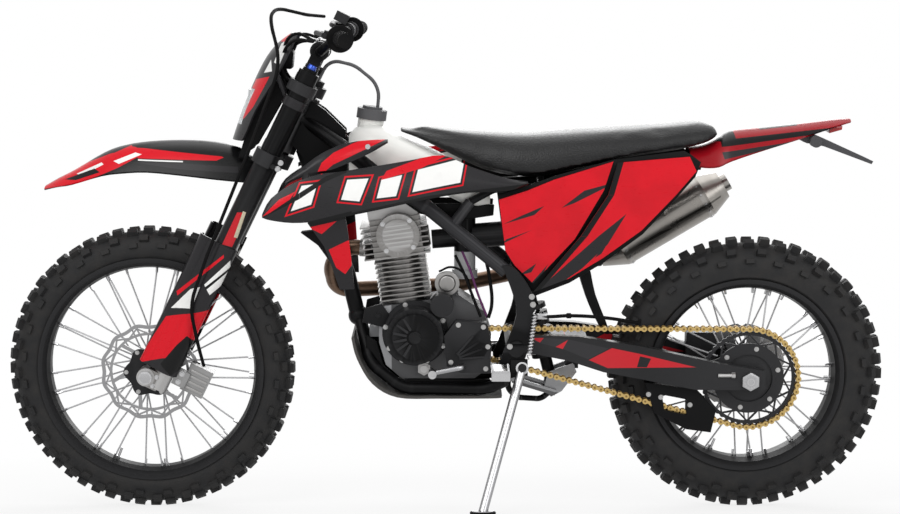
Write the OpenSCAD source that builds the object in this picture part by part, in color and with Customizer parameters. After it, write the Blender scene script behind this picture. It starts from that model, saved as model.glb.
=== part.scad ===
// Enduro motorcycle leaning on its side stand.
// Built upright with the front at -X and the rider's left at -Y, then leaned as one piece.

/* [Stance] */
// Lean angle on the side stand
lean = 10.5; // [9:0.5:12]
// Distance between the two axles
wheelbase = 1455; // [1430:5:1480]
// Shift that centres the leaned outline lengthwise
park_x = 44; // [-60:1:80]
// Shift that centres the leaned outline sideways
park_y = 212; // [150:1:270]

/* [Front wheel] */
// Radius over the lug tips
front_tyre_r = 350; // [345:1:355]
// Half of the tyre's section width
front_tyre_s = 45; // [43:1:47]
// Radius where the tyre's bead sits
front_bead_r = 268; // [264:1:270]
// Height of the tread's lugs
front_lug = 12; // [9:0.5:14]
// Brake disc radius
front_disc_r = 120; // [115:1:124]
// Brake disc thickness
disc_t = 4; // [3:0.5:5]
// Front axle radius
front_axle_r = 11; // [10:0.5:12]
// Radius of the hole through the front axle
front_axle_bore = 7.5; // [6:0.5:8]

/* [Rear wheel] */
// Radius over the lug tips
rear_tyre_r = 337; // [332:1:342]
// Half of the tyre's section width
rear_tyre_s = 56; // [53:1:58]
// Radius where the tyre's bead sits
rear_bead_r = 230; // [227:1:232]
// Height of the tread's lugs
rear_lug = 15; // [11:0.5:17]
// Brake disc radius
rear_disc_r = 110; // [105:1:114]
// Rear axle radius
rear_axle_r = 10; // [9:0.5:11]
// Radius of the hole through the rear axle
rear_axle_bore = 6.5; // [5:0.5:7]
// Spoke radius
spoke_r = 2; // [1.5:0.1:2.4]

/* [Steering] */
// Rake of the fork from vertical
rake = 26.5; // [26:0.25:27]
// Fork tube distance behind the axle
fork_lead = 35; // [33:1:37]
// Steering axis distance behind the fork tubes
clamp_offset = 22; // [20:1:24]
// Half of the distance between the fork tubes
fork_half = 105; // [103:1:107]
// Fork upper tube radius in the clamps
fork_r = 25; // [24:0.5:26]
// Fork lower tube radius
slider_r = 23.5; // [22:0.5:24]
// Steering stem radius
stem_r = 15; // [14:0.5:16]
// Half width over the bar ends
bar_half = 402; // [385:1:410]
// Handlebar tube radius
bar_r = 11; // [10:0.5:12]

/* [Drive] */
// Distance of the chain line from the middle
chain_y = 73; // [71:0.5:75]
// Chain pitch
pitch = 15.875; // [15.875:0.001:15.875]
// Teeth on the rear sprocket
teeth_rear = 48; // [46:1:50]
// Teeth on the front sprocket
teeth_front = 13; // [13:1:14]

/* [Side stand] */
// Tilt of the stand's hinge from level
stand_tilt = 19.4; // [17:0.2:22]
// Stand leg radius
stand_r = 11; // [10:0.5:12]

/* [Clearances] */
// Gap between parts bolted together
seat_gap = 0.3; // [0.2:0.1:0.5]
// Gap around a pin
pin_gap = 0.4; // [0.2:0.1:0.6]
// Wall of the plastic panels
skin = 4; // [3:0.5:5]

/* [Hidden] */
$fn = 48;
front_x = -765;
rear_x = front_x + wheelbase;
front_z = front_tyre_r - front_tyre_s + front_tyre_s / cos(lean);
rear_z = rear_tyre_r - rear_tyre_s + rear_tyre_s / cos(lean);
axis_lx = fork_lead + clamp_offset;
lower_clamp_z = 585;
upper_clamp_z = 775;
fork_top_z = upper_clamp_z + 55;
bar_z = upper_clamp_z + 105;
slider_top_z = 355;
r_front_sprocket = pitch / (2 * sin(180 / teeth_front));
r_rear_sprocket = pitch / (2 * sin(180 / teeth_rear));
drive_x = 34;
drive_z = 428;
pivot_x = 125;
pivot_z = 420;
engine_x = -140;
engine_z = 520;
engine_tilt = 8;
plate_in = 112;
plate_out = 126;
stand_p = [138, -152, 377];
stand_g = [43, -300, 300 * tan(lean)];

// Placing helpers
module park() translate([park_x, park_y, 0]) rotate([lean, 0, 0]) children();
module fork_frame() translate([front_x, 0, front_z]) rotate([0, rake, 0]) children();
module front_spin() translate([front_x, 0, front_z]) rotate([90, 0, 0]) children();
module rear_spin() translate([rear_x, 0, rear_z]) rotate([90, 0, 0]) children();
module engine_frame() translate([engine_x, 0, engine_z]) rotate([0, -engine_tilt, 0]) children();
module both() {
  children();
  mirror([0, 1, 0]) children();
}
function at_fork(p) = [front_x + p[0] * cos(rake) + p[2] * sin(rake), p[1],
  front_z - p[0] * sin(rake) + p[2] * cos(rake)];
function flip(p) = [p[0], -p[1], p[2]];

// Solid helpers
module rod(a, b, r) {
  d = b - a;
  len = norm(d);
  translate(a) rotate([0, acos(d[2] / len), atan2(d[1], d[0])]) cylinder(h = len, r = r);
}
// A tube through the points, with a sleeved round bend at each inner one, of radius q or what its legs allow
function unit(v) = v / norm(v);
function turn(a, b) = acos(min(1, a * b));
module bent(pts, r, q) {
  k = len(pts) - 1;
  d = [for (i = [0:k - 1]) unit(pts[i + 1] - pts[i])];
  leg = [for (i = [0:k - 1]) norm(pts[i + 1] - pts[i]) * (i == 0 || i == k - 1 ? 0.84 : 0.42)];
  h = [for (i = [0:k]) (i == 0 || i == k) ? 0 : tan(turn(d[i - 1], d[i]) / 2)];
  f = [for (i = [0:k]) (i == 0 || i == k) ? 0 : min(q, leg[i - 1] / h[i], leg[i] / h[i])];
  for (i = [0:k - 1]) rod(pts[i] + f[i] * h[i] * d[i], pts[i + 1] - f[i + 1] * h[i + 1] * d[i], r);
  for (i = [1:k - 1]) {
    over = min(120 / f[i], acos(1 - 0.15 / (f[i] + r)));
    z = unit(cross(d[i - 1], d[i]));
    x = -cross(z, d[i - 1]);
    y = d[i - 1];
    c = pts[i] - f[i] * h[i] * y - f[i] * x;
    multmatrix([[x[0], y[0], z[0], c[0]], [x[1], y[1], z[1], c[1]], [x[2], y[2], z[2], c[2]], [0, 0, 0, 1]])
      rotate([0, 0, -over]) rotate_extrude(angle = turn(d[i - 1], d[i]) + 2 * over) translate([f[i], 0])
        circle(r + 0.25);
  }
}
module slab(pts, y0, y1) translate([0, y1, 0]) rotate([90, 0, 0]) linear_extrude(y1 - y0) polygon(pts);
module across(x, z, r, y0, y1) translate([x, y1, z]) rotate([90, 0, 0]) cylinder(h = y1 - y0, r = r);

// Smooth tables and lofts
function cr(a, b, c, d, t) = 0.5 * (2 * b + (c - a) * t + (2 * a - 5 * b + 4 * c - d) * t * t
  + (3 * b - a - 3 * c + d) * t * t * t);
function smooth(rows, n) = [for (i = [0:len(rows) - 2], j = [0:n - 1])
  cr(rows[max(i - 1, 0)], rows[i], rows[i + 1], rows[min(i + 2, len(rows) - 1)], j / n),
  rows[len(rows) - 1]];
function volume(p, f) = [for (t = f) p[t[0]] * cross(p[t[1]], p[t[2]])] * [for (t = f) 1];
module loft(secs) {
  m = len(secs[0]);
  n = len(secs);
  p = [for (s = secs) each s];
  walls = [for (i = [0:n - 2], j = [0:m - 1]) each
    [[i * m + j, i * m + (j + 1) % m, (i + 1) * m + j],
     [i * m + (j + 1) % m, (i + 1) * m + (j + 1) % m, (i + 1) * m + j]]];
  fans = [for (j = [1:m - 2]) each [[0, j + 1, j], [(n - 1) * m, (n - 1) * m + j, (n - 1) * m + j + 1]]];
  ends = [[for (j = [m - 1:-1:0]) j], [for (j = [0:m - 1]) (n - 1) * m + j]];
  turned = volume(p, concat(walls, fans)) > 0;
  faces = concat(walls, ends);
  polyhedron(p, turned ? [for (f = faces) [for (k = [len(f) - 1:-1:0]) f[k]]] : faces, 4);
}
function spow(v, e) = sign(v) * pow(abs(v), e);
function oval(x, z, w, h, e, m) = [for (i = [0:m - 1])
  let (a = 360 * (i + 0.5) / m) [x, w * spow(cos(a), 2 / e), z + h * spow(sin(a), 2 / e)]];
function channel(x, z, w, drop, t, k, e) = concat(
  [for (i = [-k:k]) let (u = i / k) [x, w * u, z - drop * pow(abs(u), e)]],
  [for (i = [k:-1:-k]) let (u = i / k) [x, (w - t) * u, z - t - drop * pow(abs(u), e)]]);
function loaf(x, z0, z1, w, m) = concat([[x, -w, z0], [x, w, z0]], [for (i = [0:m]) let (a = 180 * i / m)
  [x, w * spow(cos(a), 0.62), z0 + 6 + (z1 - z0 - 6) * spow(sin(a), 0.8)]]);

// Frame. Spar points run from the steering head down to the pivot plates.
spar_r = 17;
spar = [at_fork([axis_lx + 12, 16, 716]), [-285, 62, 895], [-200, 92, 830], [-93, 98, 762],
  [100, 105, 605]];
stub_end = [14, 90, 770];
gusset = [at_fork([axis_lx + 10, 0, 764]), at_fork([axis_lx + 46, 0, 760]), [-284, 0, 936], [-284, 0, 806],
  [-372, 0, 792], at_fork([axis_lx + 56, 0, 632]), at_fork([axis_lx + 10, 0, 650])];
module spar_side(extra) bent(spar, spar_r + extra, 50);
module head_tube() fork_frame() translate([axis_lx, 0, lower_clamp_z + 40])
  cylinder(h = upper_clamp_z - lower_clamp_z - 45, r = 27);
module frame_spars() color([0.05, 0.05, 0.05]) park() difference() {
  union() {
    head_tube();
    both() spar_side(0);
    both() slab([for (p = gusset) [p[0], p[2]]], 21, 33);
    both() rod([-30, 100, 712], stub_end, 13);
    rod([-170, -88, 812], [-170, 88, 812], 12);
  }
  fork_frame() translate([axis_lx, 0, lower_clamp_z]) cylinder(h = 250, r = stem_r + pin_gap * 3);
}

// Down tube from the head to the split, then a rail each side under the engine
down_tube = [at_fork([axis_lx + 40, 0, 650]), [-283, 0, 580], [-262, 0, 490]];
rail_q = 80;
rail = [[-256, 7, 476], [-228, 58, 372], [-150, 76, 314], [54, 80, 312], [100, 98, 336]];
module frame_cradle() color([0.05, 0.05, 0.05]) park() {
  difference() {
    union() {
      bent(down_tube, 19, 60);
      both() bent(rail, 14, rail_q);
      translate([-258, 0, 480]) sphere(25);
      rod([-150, -76, 314], [-150, 76, 314], 11);
    }
    head_tube();
    fork_frame() translate([axis_lx, 0, lower_clamp_z + 39]) cylinder(h = 120, r = 27 + seat_gap);
  }
}

// Plates that hold the swingarm pivot, with the stand's bracket on the left one
plate_pts = smooth([[90, 622], [118, 617], [150, 578], [166, 535], [162, 455], [146, 396], [126, 352], [74, 352],
  [88, 396], [106, 445], [124, 500], [118, 546], [90, 622]], 3);
module stand_axis(t0, t1, r) translate(stand_p) rotate([-stand_tilt, 0, 0])
  translate([0, t1, 0]) rotate([90, 0, 0]) cylinder(h = t1 - t0, r = r);
module pivot_plates() color([0.06, 0.06, 0.07]) park() {
  difference() {
    union() {
      both() slab(plate_pts, plate_in, plate_out);
      across(126, 590, 13, -plate_out, plate_out);
      across(100, 352, 13, -plate_out, plate_out);
      across(pivot_x, pivot_z, 10, -plate_out - 8, plate_out + 8);
      both() across(pivot_x, pivot_z, 20, plate_out - 2, plate_out + 5);
      translate([112, -142, 358]) cube([40, 26, 36]);
      both() across(85, 372, 14, plate_out - 2, 134);
    }
    both() spar_side(seat_gap);
    both() bent(rail, 14 + seat_gap, rail_q);
    translate(stand_p) rotate([-stand_tilt, 0, 0]) translate([-60, -40, -60]) cube([120, 53, 120]);
  }
  stand_axis(-15, 22, 6);
  stand_axis(-17, -12, 10);
}

// Side panels bow outwards round an axis along the machine
panel_r = 1400;
panel_z = 720;
panel_a_y = 113.5;
panel_b_y = 120.5;
function bow(z) = sqrt(panel_r * panel_r - (z - panel_z) * (z - panel_z)) - panel_r - seat_gap - 0.7;

// Tubes that carry the seat, the panels and the tail
sub_rail = [stub_end + [0.3, 0, 0.3], [70, 86, 800], [185, 82, 806], [350, 78, 838], [564, 57, 852]];
sub_strut = [[142, 97, 604], [180, 90, 640], [440, 70, 838]];
module subframe() color([0.05, 0.05, 0.05]) park() difference() {
  union() {
    both() bent(sub_rail, 9, 24);
    both() bent(sub_strut, 9, 24);
    for (x = [185, 350]) rod([x, -82, x == 185 ? 806 : 838], [x, 82, x == 185 ? 806 : 838], 8);
    rod([554, -56, 852], [554, 56, 852], 8);
    both() rod([185, 30, 806], [185, 30, 831], 7);
    rod([554, 0, 852], [554, 0, 886], 7);
    both() across(200, 808, 8, 80, panel_a_y + bow(816));
    both() across(180, 640, 8, 90, panel_a_y + bow(632));
    both() across(440, 842, 8, 68, panel_b_y + bow(850));
    both() across(345, 766, 8, 76, panel_b_y + bow(774));
  }
  both() rod([-30, 100, 712], stub_end + [0.3, 0, 0.35], 13 + seat_gap);
  both() slab(plate_pts, plate_in - 1, plate_out);
}

// Engine
deck = tan(engine_tilt);
case_pts = [[-206, 424], [-190, 368], [-152, 334], [26, 334], [62, 362], [66, 440], [48, 500],
  [-14, 540], [-66, engine_z + 74 * deck], [-206, engine_z - 66 * deck]];
module crankcase() color([0.55, 0.55, 0.56]) park() {
  slab(case_pts, -58, 58);
  translate([20, -30, 340]) cube([86.7 - 20, 60, 18]);
  translate([-231, -20, 430]) cube([31, 40, 26]);
  across(-40, 551, 24, -57.5, 34);
}
module engine_covers() color([0.04, 0.04, 0.045]) park() {
  across(-118, 447, 68, -116, -58 - seat_gap);
  across(-118, 447, 56, -122, -115);
  across(-118, 447, 15, -126, -121);
  for (i = [0:5]) translate([-118, -125, 447]) rotate([0, 120 + i * 24, 0]) translate([20, 0, -3]) cube([33, 4, 6]);
  for (i = [1:4]) translate([-30, -121, 392]) rotate([0, 8 - i * 14, 0]) translate([18, 0, -2.5]) cube([60, 4, 5]);
  across(-53, 521, 28, -104, -58 - seat_gap);
  slab([[-42, 376], [-8, 360], [62, 360], [66, 430], [54, 482], [-20, 486], [-48, 450]], -118, -88);
  across(-36, 400, 8, -90, -58 - seat_gap);
  across(-62, 436, 74, 58 + seat_gap, 98);
  across(-62, 436, 50, 97, 106);
  across(-150, 400, 34, 58 + seat_gap, 88);
}
module barrel() color([0.6, 0.6, 0.62]) park() engine_frame() {
  translate([0, 0, seat_gap]) cylinder(h = 112, r = 47);
  for (i = [0:8]) translate([-62, -66, 12 + i * 11.5]) cube([124, 132, 3]);
}
module cylinder_head() color([0.12, 0.12, 0.13]) park() engine_frame() {
  translate([-60, -58, 113]) cube([120, 116, 96]);
  for (i = [0:6]) translate([-84, -68, 116 + i * 13]) cube([160, 136, 3.2]);
  across(5, 169, 52, -86, -56);
  across(5, 169, 40, -90, -85);
  for (z = [-25:10:25]) {
    reach = sqrt(36 * 36 - z * z);
    translate([5 - reach, -92.5, 167 + z]) cube([2 * reach, 4, 4]);
  }
  across(5, 169, 46, 56, 82);
  translate([-62, -48, 208]) cube([120, 96, 34]);
  translate([-58, 40, 128]) rotate([0, -78, 0]) cylinder(h = 40, r = 21.5);
  translate([58, 0, 150]) rotate([0, 90, 0]) cylinder(h = 20, r = 25);
}

// Fuel system
module carburettor() color([0.66, 0.66, 0.68]) park() {
  rod([-78, 0, 668], [28, 0, 676], 23);
  translate([2, 0, 590]) cylinder(h = 140, r = 26);
  translate([2, 0, 574]) cylinder(h = 20, r = 31);
  rod([20, 0, 676], [201.2, 0, 690], 30);
}
module airbox() color([0.03, 0.03, 0.03]) park() difference() {
  union() {
    slab([[204, 625], [250, 604], [330, 612], [392, 700], [392, 790], [330, 796], [204, 776]], -66, 66);
    slab(smooth([[272, 612], [300, 612], [318, 540], [352, 452], [336, 450], [300, 520], [272, 612]], 3), -52, 52);
    both() across(260, 742, 10, 60, 79);
  }
  both() bent(sub_strut, 9 + seat_gap, 24);
  both() bent(sub_rail, 9 + seat_gap, 24);
}

// Exhaust path from the head's port round the right side to the muffler
pipe_path = [[-255.7, 40, 641.5], [-288, 40, 643.8], [-330, 60, 596], [-318, 102, 526], [-20, 128, 534],
  [120, 162, 558], [288.5, 174, 566.1], [339.6, 174, 596.7]];
muff_a = [340, 174, 597];
muff_b = [662, 174, 790];
muff_r = 56;
module exhaust_pipe() color([0.45, 0.36, 0.3]) park() bent(pipe_path, 19, 60);
module muffler() color([0.75, 0.76, 0.78]) park() {
  d = (muff_b - muff_a) / norm(muff_b - muff_a);
  translate(muff_a) rotate([0, acos(d[2]), 0]) {
    cylinder(h = 60, r1 = 26, r2 = muff_r);
    translate([0, 0, 60]) cylinder(h = 250, r = muff_r);
    for (z = [64, 292]) translate([0, 0, z]) cylinder(h = 12, r = muff_r + 1.5);
    translate([0, 0, 310]) cylinder(h = 50, r1 = muff_r, r2 = 36);
    difference() {
      translate([0, 0, 340]) cylinder(h = 36, r = 22);
      translate([0, 0, 350]) cylinder(h = 40, r = 18);
    }
  }
  rod([500, 146, 690], [500, 112, 724], 6);
}

// Tank rows: x, middle z, half height, half width
tank_rows = [[-276, 866, 58, 50], [-252, 872, 72, 70], [-205, 872, 76, 86], [-150, 858, 60, 92],
  [-65, 834, 46, 90], [14, 792, 40, 80], [62, 774, 20, 66]];
module fuel_tank() color([0.86, 0.86, 0.84]) park() difference() {
  union() {
    loft([for (r = smooth(tank_rows, 3)) oval(r[0], r[1], r[3], r[2], 3.4, 28)]);
    translate([-228, 0, 930]) rotate([0, 8, 0]) cylinder(h = 30, r = 31);
    both() across(-150, 846, 12, 60, 100);
    both() across(-60, 838, 12, 60, 96);
    both() across(-228, 904, 11, 60, 100);
  }
  both() spar_side(0.4);
  rod([-170, -88, 812], [-170, 88, 812], 12.4);
  both() bent(sub_rail, 9.4, 24);
  both() rod([-30, 100, 712], stub_end, 13.4);
}
// Vent hose rises from the cap and drops into the stem
vent_path = [[-209, 0, 976], [-203, 0, 1040], [-262, 0, 1088], [-322, 0, 1102], at_fork([axis_lx, 0, 814])];
module tank_cap() color([0.25, 0.25, 0.26]) park() {
  translate([-228, 0, 930]) rotate([0, 8, 0]) translate([0, 0, 30 + seat_gap]) cylinder(h = 24, r = 36);
  translate([-228, 0, 930]) rotate([0, 8, 0]) translate([0, 0, 54]) cylinder(h = 7, r = 24);
  bent(vent_path, 4, 70);
}

// Panel sections run from the top edge to the lower edge, then back inside
// Shroud rows: x, top z, low z, top y, low y
band_rows = [[-470, 757, 748, 214, 215], [-450, 792, 742, 211, 216], [-400, 826, 736, 205, 216],
  [-340, 847, 739, 196, 212], [-290, 852, 747, 185, 204], [-200, 864, 763, 162, 186],
  [-128, 874, 777, 140, 168], [-51, 884, 790, 121, 150], [12, 858, 798, 121, 142],
  [98, 830, 800, 122, 130], [150, 823, 814, 121, 123]];
wing_rows = [[-416, 834, 824, 199, 202], [-349, 884, 851, 184, 193], [-310, 905, 857, 172, 186],
  [-270, 918, 872, 160, 174], [-221, 922, 892, 143, 152], [-180, 922, 914, 128, 131]];
scoop_rows = [[762, -366, -282, 196, 186], [732, -366, -276, 196, 184], [676, -330, -270, 176, 166],
  [600, -306, -264, 150, 142], [566, -296, -262, 136, 131]];
function skin_sec(x, z1, z0, y1, y0, t) = let (b = 5) concat(
  [for (i = [0:b]) let (u = i / b) [x, y1 + (y0 - y1) * u + 8 * sin(180 * u), z1 + (z0 - z1) * u]],
  [for (i = [b:-1:0]) let (u = i / b) [x, y1 + (y0 - y1) * u + 8 * sin(180 * u) - t, z1 + (z0 - z1) * u]]);
module shrouds() color([0.75, 0.03, 0.04]) park() both() {
  loft([for (r = smooth(band_rows, 3)) skin_sec(r[0], r[1], r[2], r[3], r[4], skin)]);
  loft([for (r = smooth(wing_rows, 3)) skin_sec(r[0], r[1], r[2], r[3], r[4], skin)]);
  loft([for (r = smooth(scoop_rows, 2)) [[r[1], r[3], r[0]], [r[2], r[4], r[0]],
    [r[2], r[4] - skin, r[0]], [r[1], r[3] - skin, r[0]]]]);
  across(-330, 750, 7, 182, 211);
  across(-150, 846, 10, 100 + seat_gap, 157);
  across(-60, 838, 10, 96 + seat_gap, 141);
  across(-228, 904, 9, 100 + seat_gap, 154);
  rod([-368, 193, 812], [-371, 190, 864], 9);
}

// Seat rows: x, low z, top z, half width
seat_rows = [[-160, 936, 950, 34], [-120, 924, 945, 52], [-56, 895, 936, 72], [41, 849, 927, 94],
  [123, 832, 924, 110], [185, 833, 926, 115], [288, 857, 933, 116], [353, 871, 937, 114],
  [440, 885, 942, 107], [537, 899, 950, 94], [590, 913, 953, 74], [614, 924, 940, 50]];
module seat() color([0.03, 0.03, 0.03]) park()
  loft([for (r = smooth(seat_rows, 2)) loaf(r[0], r[1], r[2], r[3], 18)]);

// Side panels, front pair then rear pair
panel_a = [[82, 778], [150, 800], [214, 826], [352, 868], [330, 800], [262, 684], [164, 577], [120, 621],
  [98, 656]];
panel_b = [[362, 866], [532, 880], [548, 846], [500, 790], [420, 706], [330, 640], [250, 590], [164, 556],
  [276, 692], [340, 790]];
module bowed(pts, y) intersection() {
  slab(pts, y - 40, y + 40);
  translate([0, y - panel_r, panel_z]) rotate([0, 90, 0]) difference() {
    cylinder(h = 700, r = panel_r + skin, $fn = 360);
    translate([0, 0, -1]) cylinder(h = 702, r = panel_r, $fn = 360);
  }
}
module side_panels() color([0.75, 0.03, 0.04]) park() both() {
  bowed(panel_a, panel_a_y);
  bowed(panel_b, panel_b_y);
}

// Tail rows: x, top z, half width, side drop
tail_rows = [[540, 892, 76, 34], [574, 897, 80, 44], [606, 911, 82, 56], [634, 932, 82, 64], [700, 940, 76, 50],
  [800, 950, 63, 30], [880, 959, 46, 14], [926, 962, 30, 5]];
module rear_fender() color([0.75, 0.03, 0.04]) park()
  loft([for (r = smooth(tail_rows, 3)) channel(r[0], r[1], r[2], r[3], skin, 6, 3.4)]);
module tail_light() color([0.3, 0.02, 0.02]) park() {
  slab([[876, 930], [904, 938], [904, 945], [876, 943]], -30, 30);
  slab([[882, 938], [898, 938], [898, 954.6], [882, 952.6]], -8, 8);
  slab([[800, 918], [836, 926], [874, 910], [980, 862], [976, 855], [860, 898], [812, 908]], -44, 44);
  slab([[806, 916], [830, 922], [830, 947], [806, 944]], -8, 8);
  both() across(838, 911, 14, 40, 68);
}

// Skid plate under the rails
skid_top = smooth([[-266, 446], [-254, 396], [-218, 334], [-158, 300], [-60, 297], [62, 297.4], [92, 299]], 4);
skid_pts = concat(skid_top, [for (i = [len(skid_top) - 1:-1:0]) skid_top[i] - [6 - i / 5, 6.5]]);
module skid_plate() color([0.04, 0.04, 0.04]) park() difference() {
  slab(skid_pts, -92, 92);
  both() bent(rail, 14 + seat_gap, rail_q);
}

// Swingarm: two arms, the pivot tube and a cross brace
arm_pts = [[106, 440], [160, 451], [275, 447], [420, 424], [610, 382], [rear_x + 36, 362], [rear_x + 36, 316],
  [rear_x - 130, 316], [434, 341], [335, 360], [250, 388], [161, 406], [106, 402]];
module swingarm() color([0.05, 0.05, 0.055]) park() difference() {
  union() {
    both() slab(arm_pts, 85, 110);
    across(pivot_x, pivot_z, 24, -110, 110);
    slab([[205, 440], [300, 432], [300, 398], [205, 398]], -86, 86);
    both() translate([250, 14, 352]) cube([30, 10, 50]);
  }
  across(pivot_x, pivot_z, 10 + pin_gap, -120, 120);
  across(rear_x, rear_z, rear_axle_r + seat_gap, -120, 120);
  translate([0, -chain_y - 10, 0]) slab([[190, 380], [320, 380], [320, 480], [190, 480]], 0, 20);
}

// Chain loop over both sprockets
function tangent(r1, r2, s) = let (d = [rear_x - drive_x, rear_z - drive_z],
  a = atan2(d[1], d[0]) + s * acos((r1 - r2) / norm(d)))
  [[drive_x + r1 * cos(a), drive_z + r1 * sin(a)], [rear_x + r2 * cos(a), rear_z + r2 * sin(a)]];
module loop_2d(o) {
  r1 = r_front_sprocket + o;
  r2 = r_rear_sprocket + o;
  u = tangent(r1, r2, 1);
  w = tangent(r1, r2, -1);
  translate([drive_x, drive_z]) circle(r1);
  translate([rear_x, rear_z]) circle(r2);
  polygon([u[0], u[1], [rear_x, rear_z], w[1], w[0], [drive_x, drive_z]]);
}
module loop(o1, o0, y0, y1) translate([0, y1, 0]) rotate([90, 0, 0]) linear_extrude(y1 - y0) difference() {
  loop_2d(o1);
  loop_2d(o0);
}
// Scalloped side plates follow the same loop by arc length
span = norm([rear_x - drive_x, rear_z - drive_z]);
base_a = atan2(rear_z - drive_z, rear_x - drive_x);
wrap = acos((r_front_sprocket - r_rear_sprocket) / span);
run = sqrt(span * span - pow(r_rear_sprocket - r_front_sprocket, 2));
arc_rear = r_rear_sprocket * 2 * wrap * PI / 180;
arc_front = r_front_sprocket * (360 - 2 * wrap) * PI / 180;
drive_c = [drive_x, drive_z];
rear_c = [rear_x, rear_z];
function polar(r, a) = r * [cos(a), sin(a)];
function loop_pt(s, o) =
  s < arc_rear ? rear_c + polar(r_rear_sprocket + o, base_a + wrap - s / r_rear_sprocket * 180 / PI)
  : s < arc_rear + run ? let (t = (s - arc_rear) / run) (1 - t) * rear_c + t * drive_c
    + polar((1 - t) * r_rear_sprocket + t * r_front_sprocket + o, base_a - wrap)
  : s < arc_rear + run + arc_front ? drive_c + polar(r_front_sprocket + o,
    base_a - wrap - (s - arc_rear - run) / r_front_sprocket * 180 / PI)
  : let (t = (s - arc_rear - run - arc_front) / run) (1 - t) * drive_c + t * rear_c
    + polar((1 - t) * r_front_sprocket + t * r_rear_sprocket + o, base_a + wrap);
links = 52;
module plates(y0, y1) {
  step = (arc_rear + 2 * run + arc_front) / (2 * links);
  translate([0, y1, 0]) rotate([90, 0, 0]) linear_extrude(y1 - y0) difference() {
    polygon([for (i = [0:2 * links - 1]) loop_pt(i * step, i % 2 == 0 ? 7.6 : 5.2)]);
    polygon([for (i = [0:2 * links - 1]) loop_pt(i * step, i % 2 == 0 ? -7 : -4.6)]);
  }
}
module chain() color([0.7, 0.5, 0.15]) park() {
  plates(-chain_y - 8.5, -chain_y - 4.2);
  plates(-chain_y + 4.2, -chain_y + 8.5);
  loop(4, -1.5, -chain_y - 4.3, -chain_y + 4.3);
}
module chain_guide() color([0.03, 0.03, 0.03]) park() difference() {
  translate([rear_x, 0, 0])
    slab([[-252, 330], [-130, 314], [-78, 262], [-90, 206], [-150, 214], [-228, 254]], -90, -58);
  translate([rear_x, 0, 0]) slab([[-290, 330], [-220, 318], [-50, 270], [-50, 190], [-250, 240]], -84.5, -61);
  translate([rear_x, 0, 0]) slab([[-210, 300], [-150, 288], [-150, 250], [-204, 262]], -92, -56);
  across(rear_x, rear_z, r_rear_sprocket + 13, -84.5, -61);
}
module toothed(n, r, tip, root) polygon([for (i = [0:n - 1], k = [0:3])
  let (a = 360 * (i + [-0.32, -0.12, 0.12, 0.32][k]) / n, q = (k == 1 || k == 2) ? tip : root)
  [q * cos(a), q * sin(a)]]);
module drive_sprocket() color([0.3, 0.3, 0.3]) park() translate([drive_x, -chain_y + 3, drive_z])
  rotate([90, 0, 0]) {
    linear_extrude(6) toothed(teeth_front, r_front_sprocket, r_front_sprocket - 2.2, r_front_sprocket - 7);
    translate([0, 0, -chain_y + 58 + 3 + seat_gap]) cylinder(h = chain_y - 61, r = 14);
    translate([0, 0, 5]) cylinder(h = 7, r = 14);
  }
module window_2d() {
  for (s = [-1, 1]) translate([0, s * 9]) circle(10);
  translate([-8, -9]) square([16, 18]);
}
module rear_sprocket() color([0.06, 0.06, 0.06]) park() rear_spin() translate([0, 0, chain_y - 3])
  linear_extrude(6) difference() {
    toothed(teeth_rear, r_rear_sprocket, r_rear_sprocket - 3.4, r_rear_sprocket - 9);
    circle(58);
    for (i = [0:9]) rotate(i * 36) translate([r_rear_sprocket - 24, 0]) window_2d();
  }

// Rear axle with its nuts
module rear_axle() color([0.6, 0.6, 0.6]) park() rear_spin() difference() {
  union() {
    translate([0, 0, -122]) cylinder(h = 244, r = rear_axle_r);
    for (s = [-1, 1]) translate([0, 0, s * 116 - 5.5]) cylinder(h = 11, r = 17);
  }
  translate([0, 0, -130]) cylinder(h = 260, r = rear_axle_bore);
}
module rear_caliper() color([0.08, 0.08, 0.08]) park() difference() {
  union() {
    translate([rear_x - 138, 45, rear_z + 24]) cube([74, 38, 66]);
    translate([rear_x - 100, 76, rear_z + 5]) cube([70, 8.6, 40]);
    across(rear_x, rear_z, 24, 76, 84.6);
    translate([rear_x - 60, 76, rear_z - 12]) cube([60, 8.6, 40]);
  }
  across(rear_x, rear_z, rear_disc_r + 5, 57, 72);
  across(rear_x, rear_z, rear_axle_r + seat_gap, 70, 90);
}

// Shock and its linkage
shock_low = [214, 0, 322];
shock_top = [152, 0, 566];
module shock() color([0.5, 0.08, 0.06]) park() {
  d = (shock_top - shock_low) / norm(shock_top - shock_low);
  difference() {
    union() {
      rod(shock_low + 8 * d, shock_top - 10 * d, 15);
      for (i = [0:6]) rod(shock_low + (60 + i * 20) * d, shock_low + (71 + i * 20) * d, 32);
      across(shock_low[0], shock_low[2], 16, -11, 11);
    }
    across(shock_low[0], shock_low[2], 7 + seat_gap, -20, 20);
    across(126, 590, 13 + seat_gap, -40, 40);
    slab([[190, 445], [310, 440], [310, 390], [190, 390]], -87, 87);
  }
}
module linkage() color([0.6, 0.6, 0.6]) park() {
  both() slab([[196, 300], [214, 282], [240, 296], [276, 344], [266, 366], [206, 344]], 24.4, 31);
  across(shock_low[0], shock_low[2], 7, -31, 31);
  across(265, 358, 6, -31, -24.3);
  across(265, 358, 6, 24.3, 31);
  both() slab([[112, 336], [118, 318], [222, 286], [226, 300]], 31.3, 37);
  slab([[96, 337.6], [128, 336], [128, 320], [100, 322]], -31, 31);
  bent([[114, 0, 330], [106, 0, 300], [130, 0, 274], [190, 0, 270], [212, 0, 288]], 7, 30);
}

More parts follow.
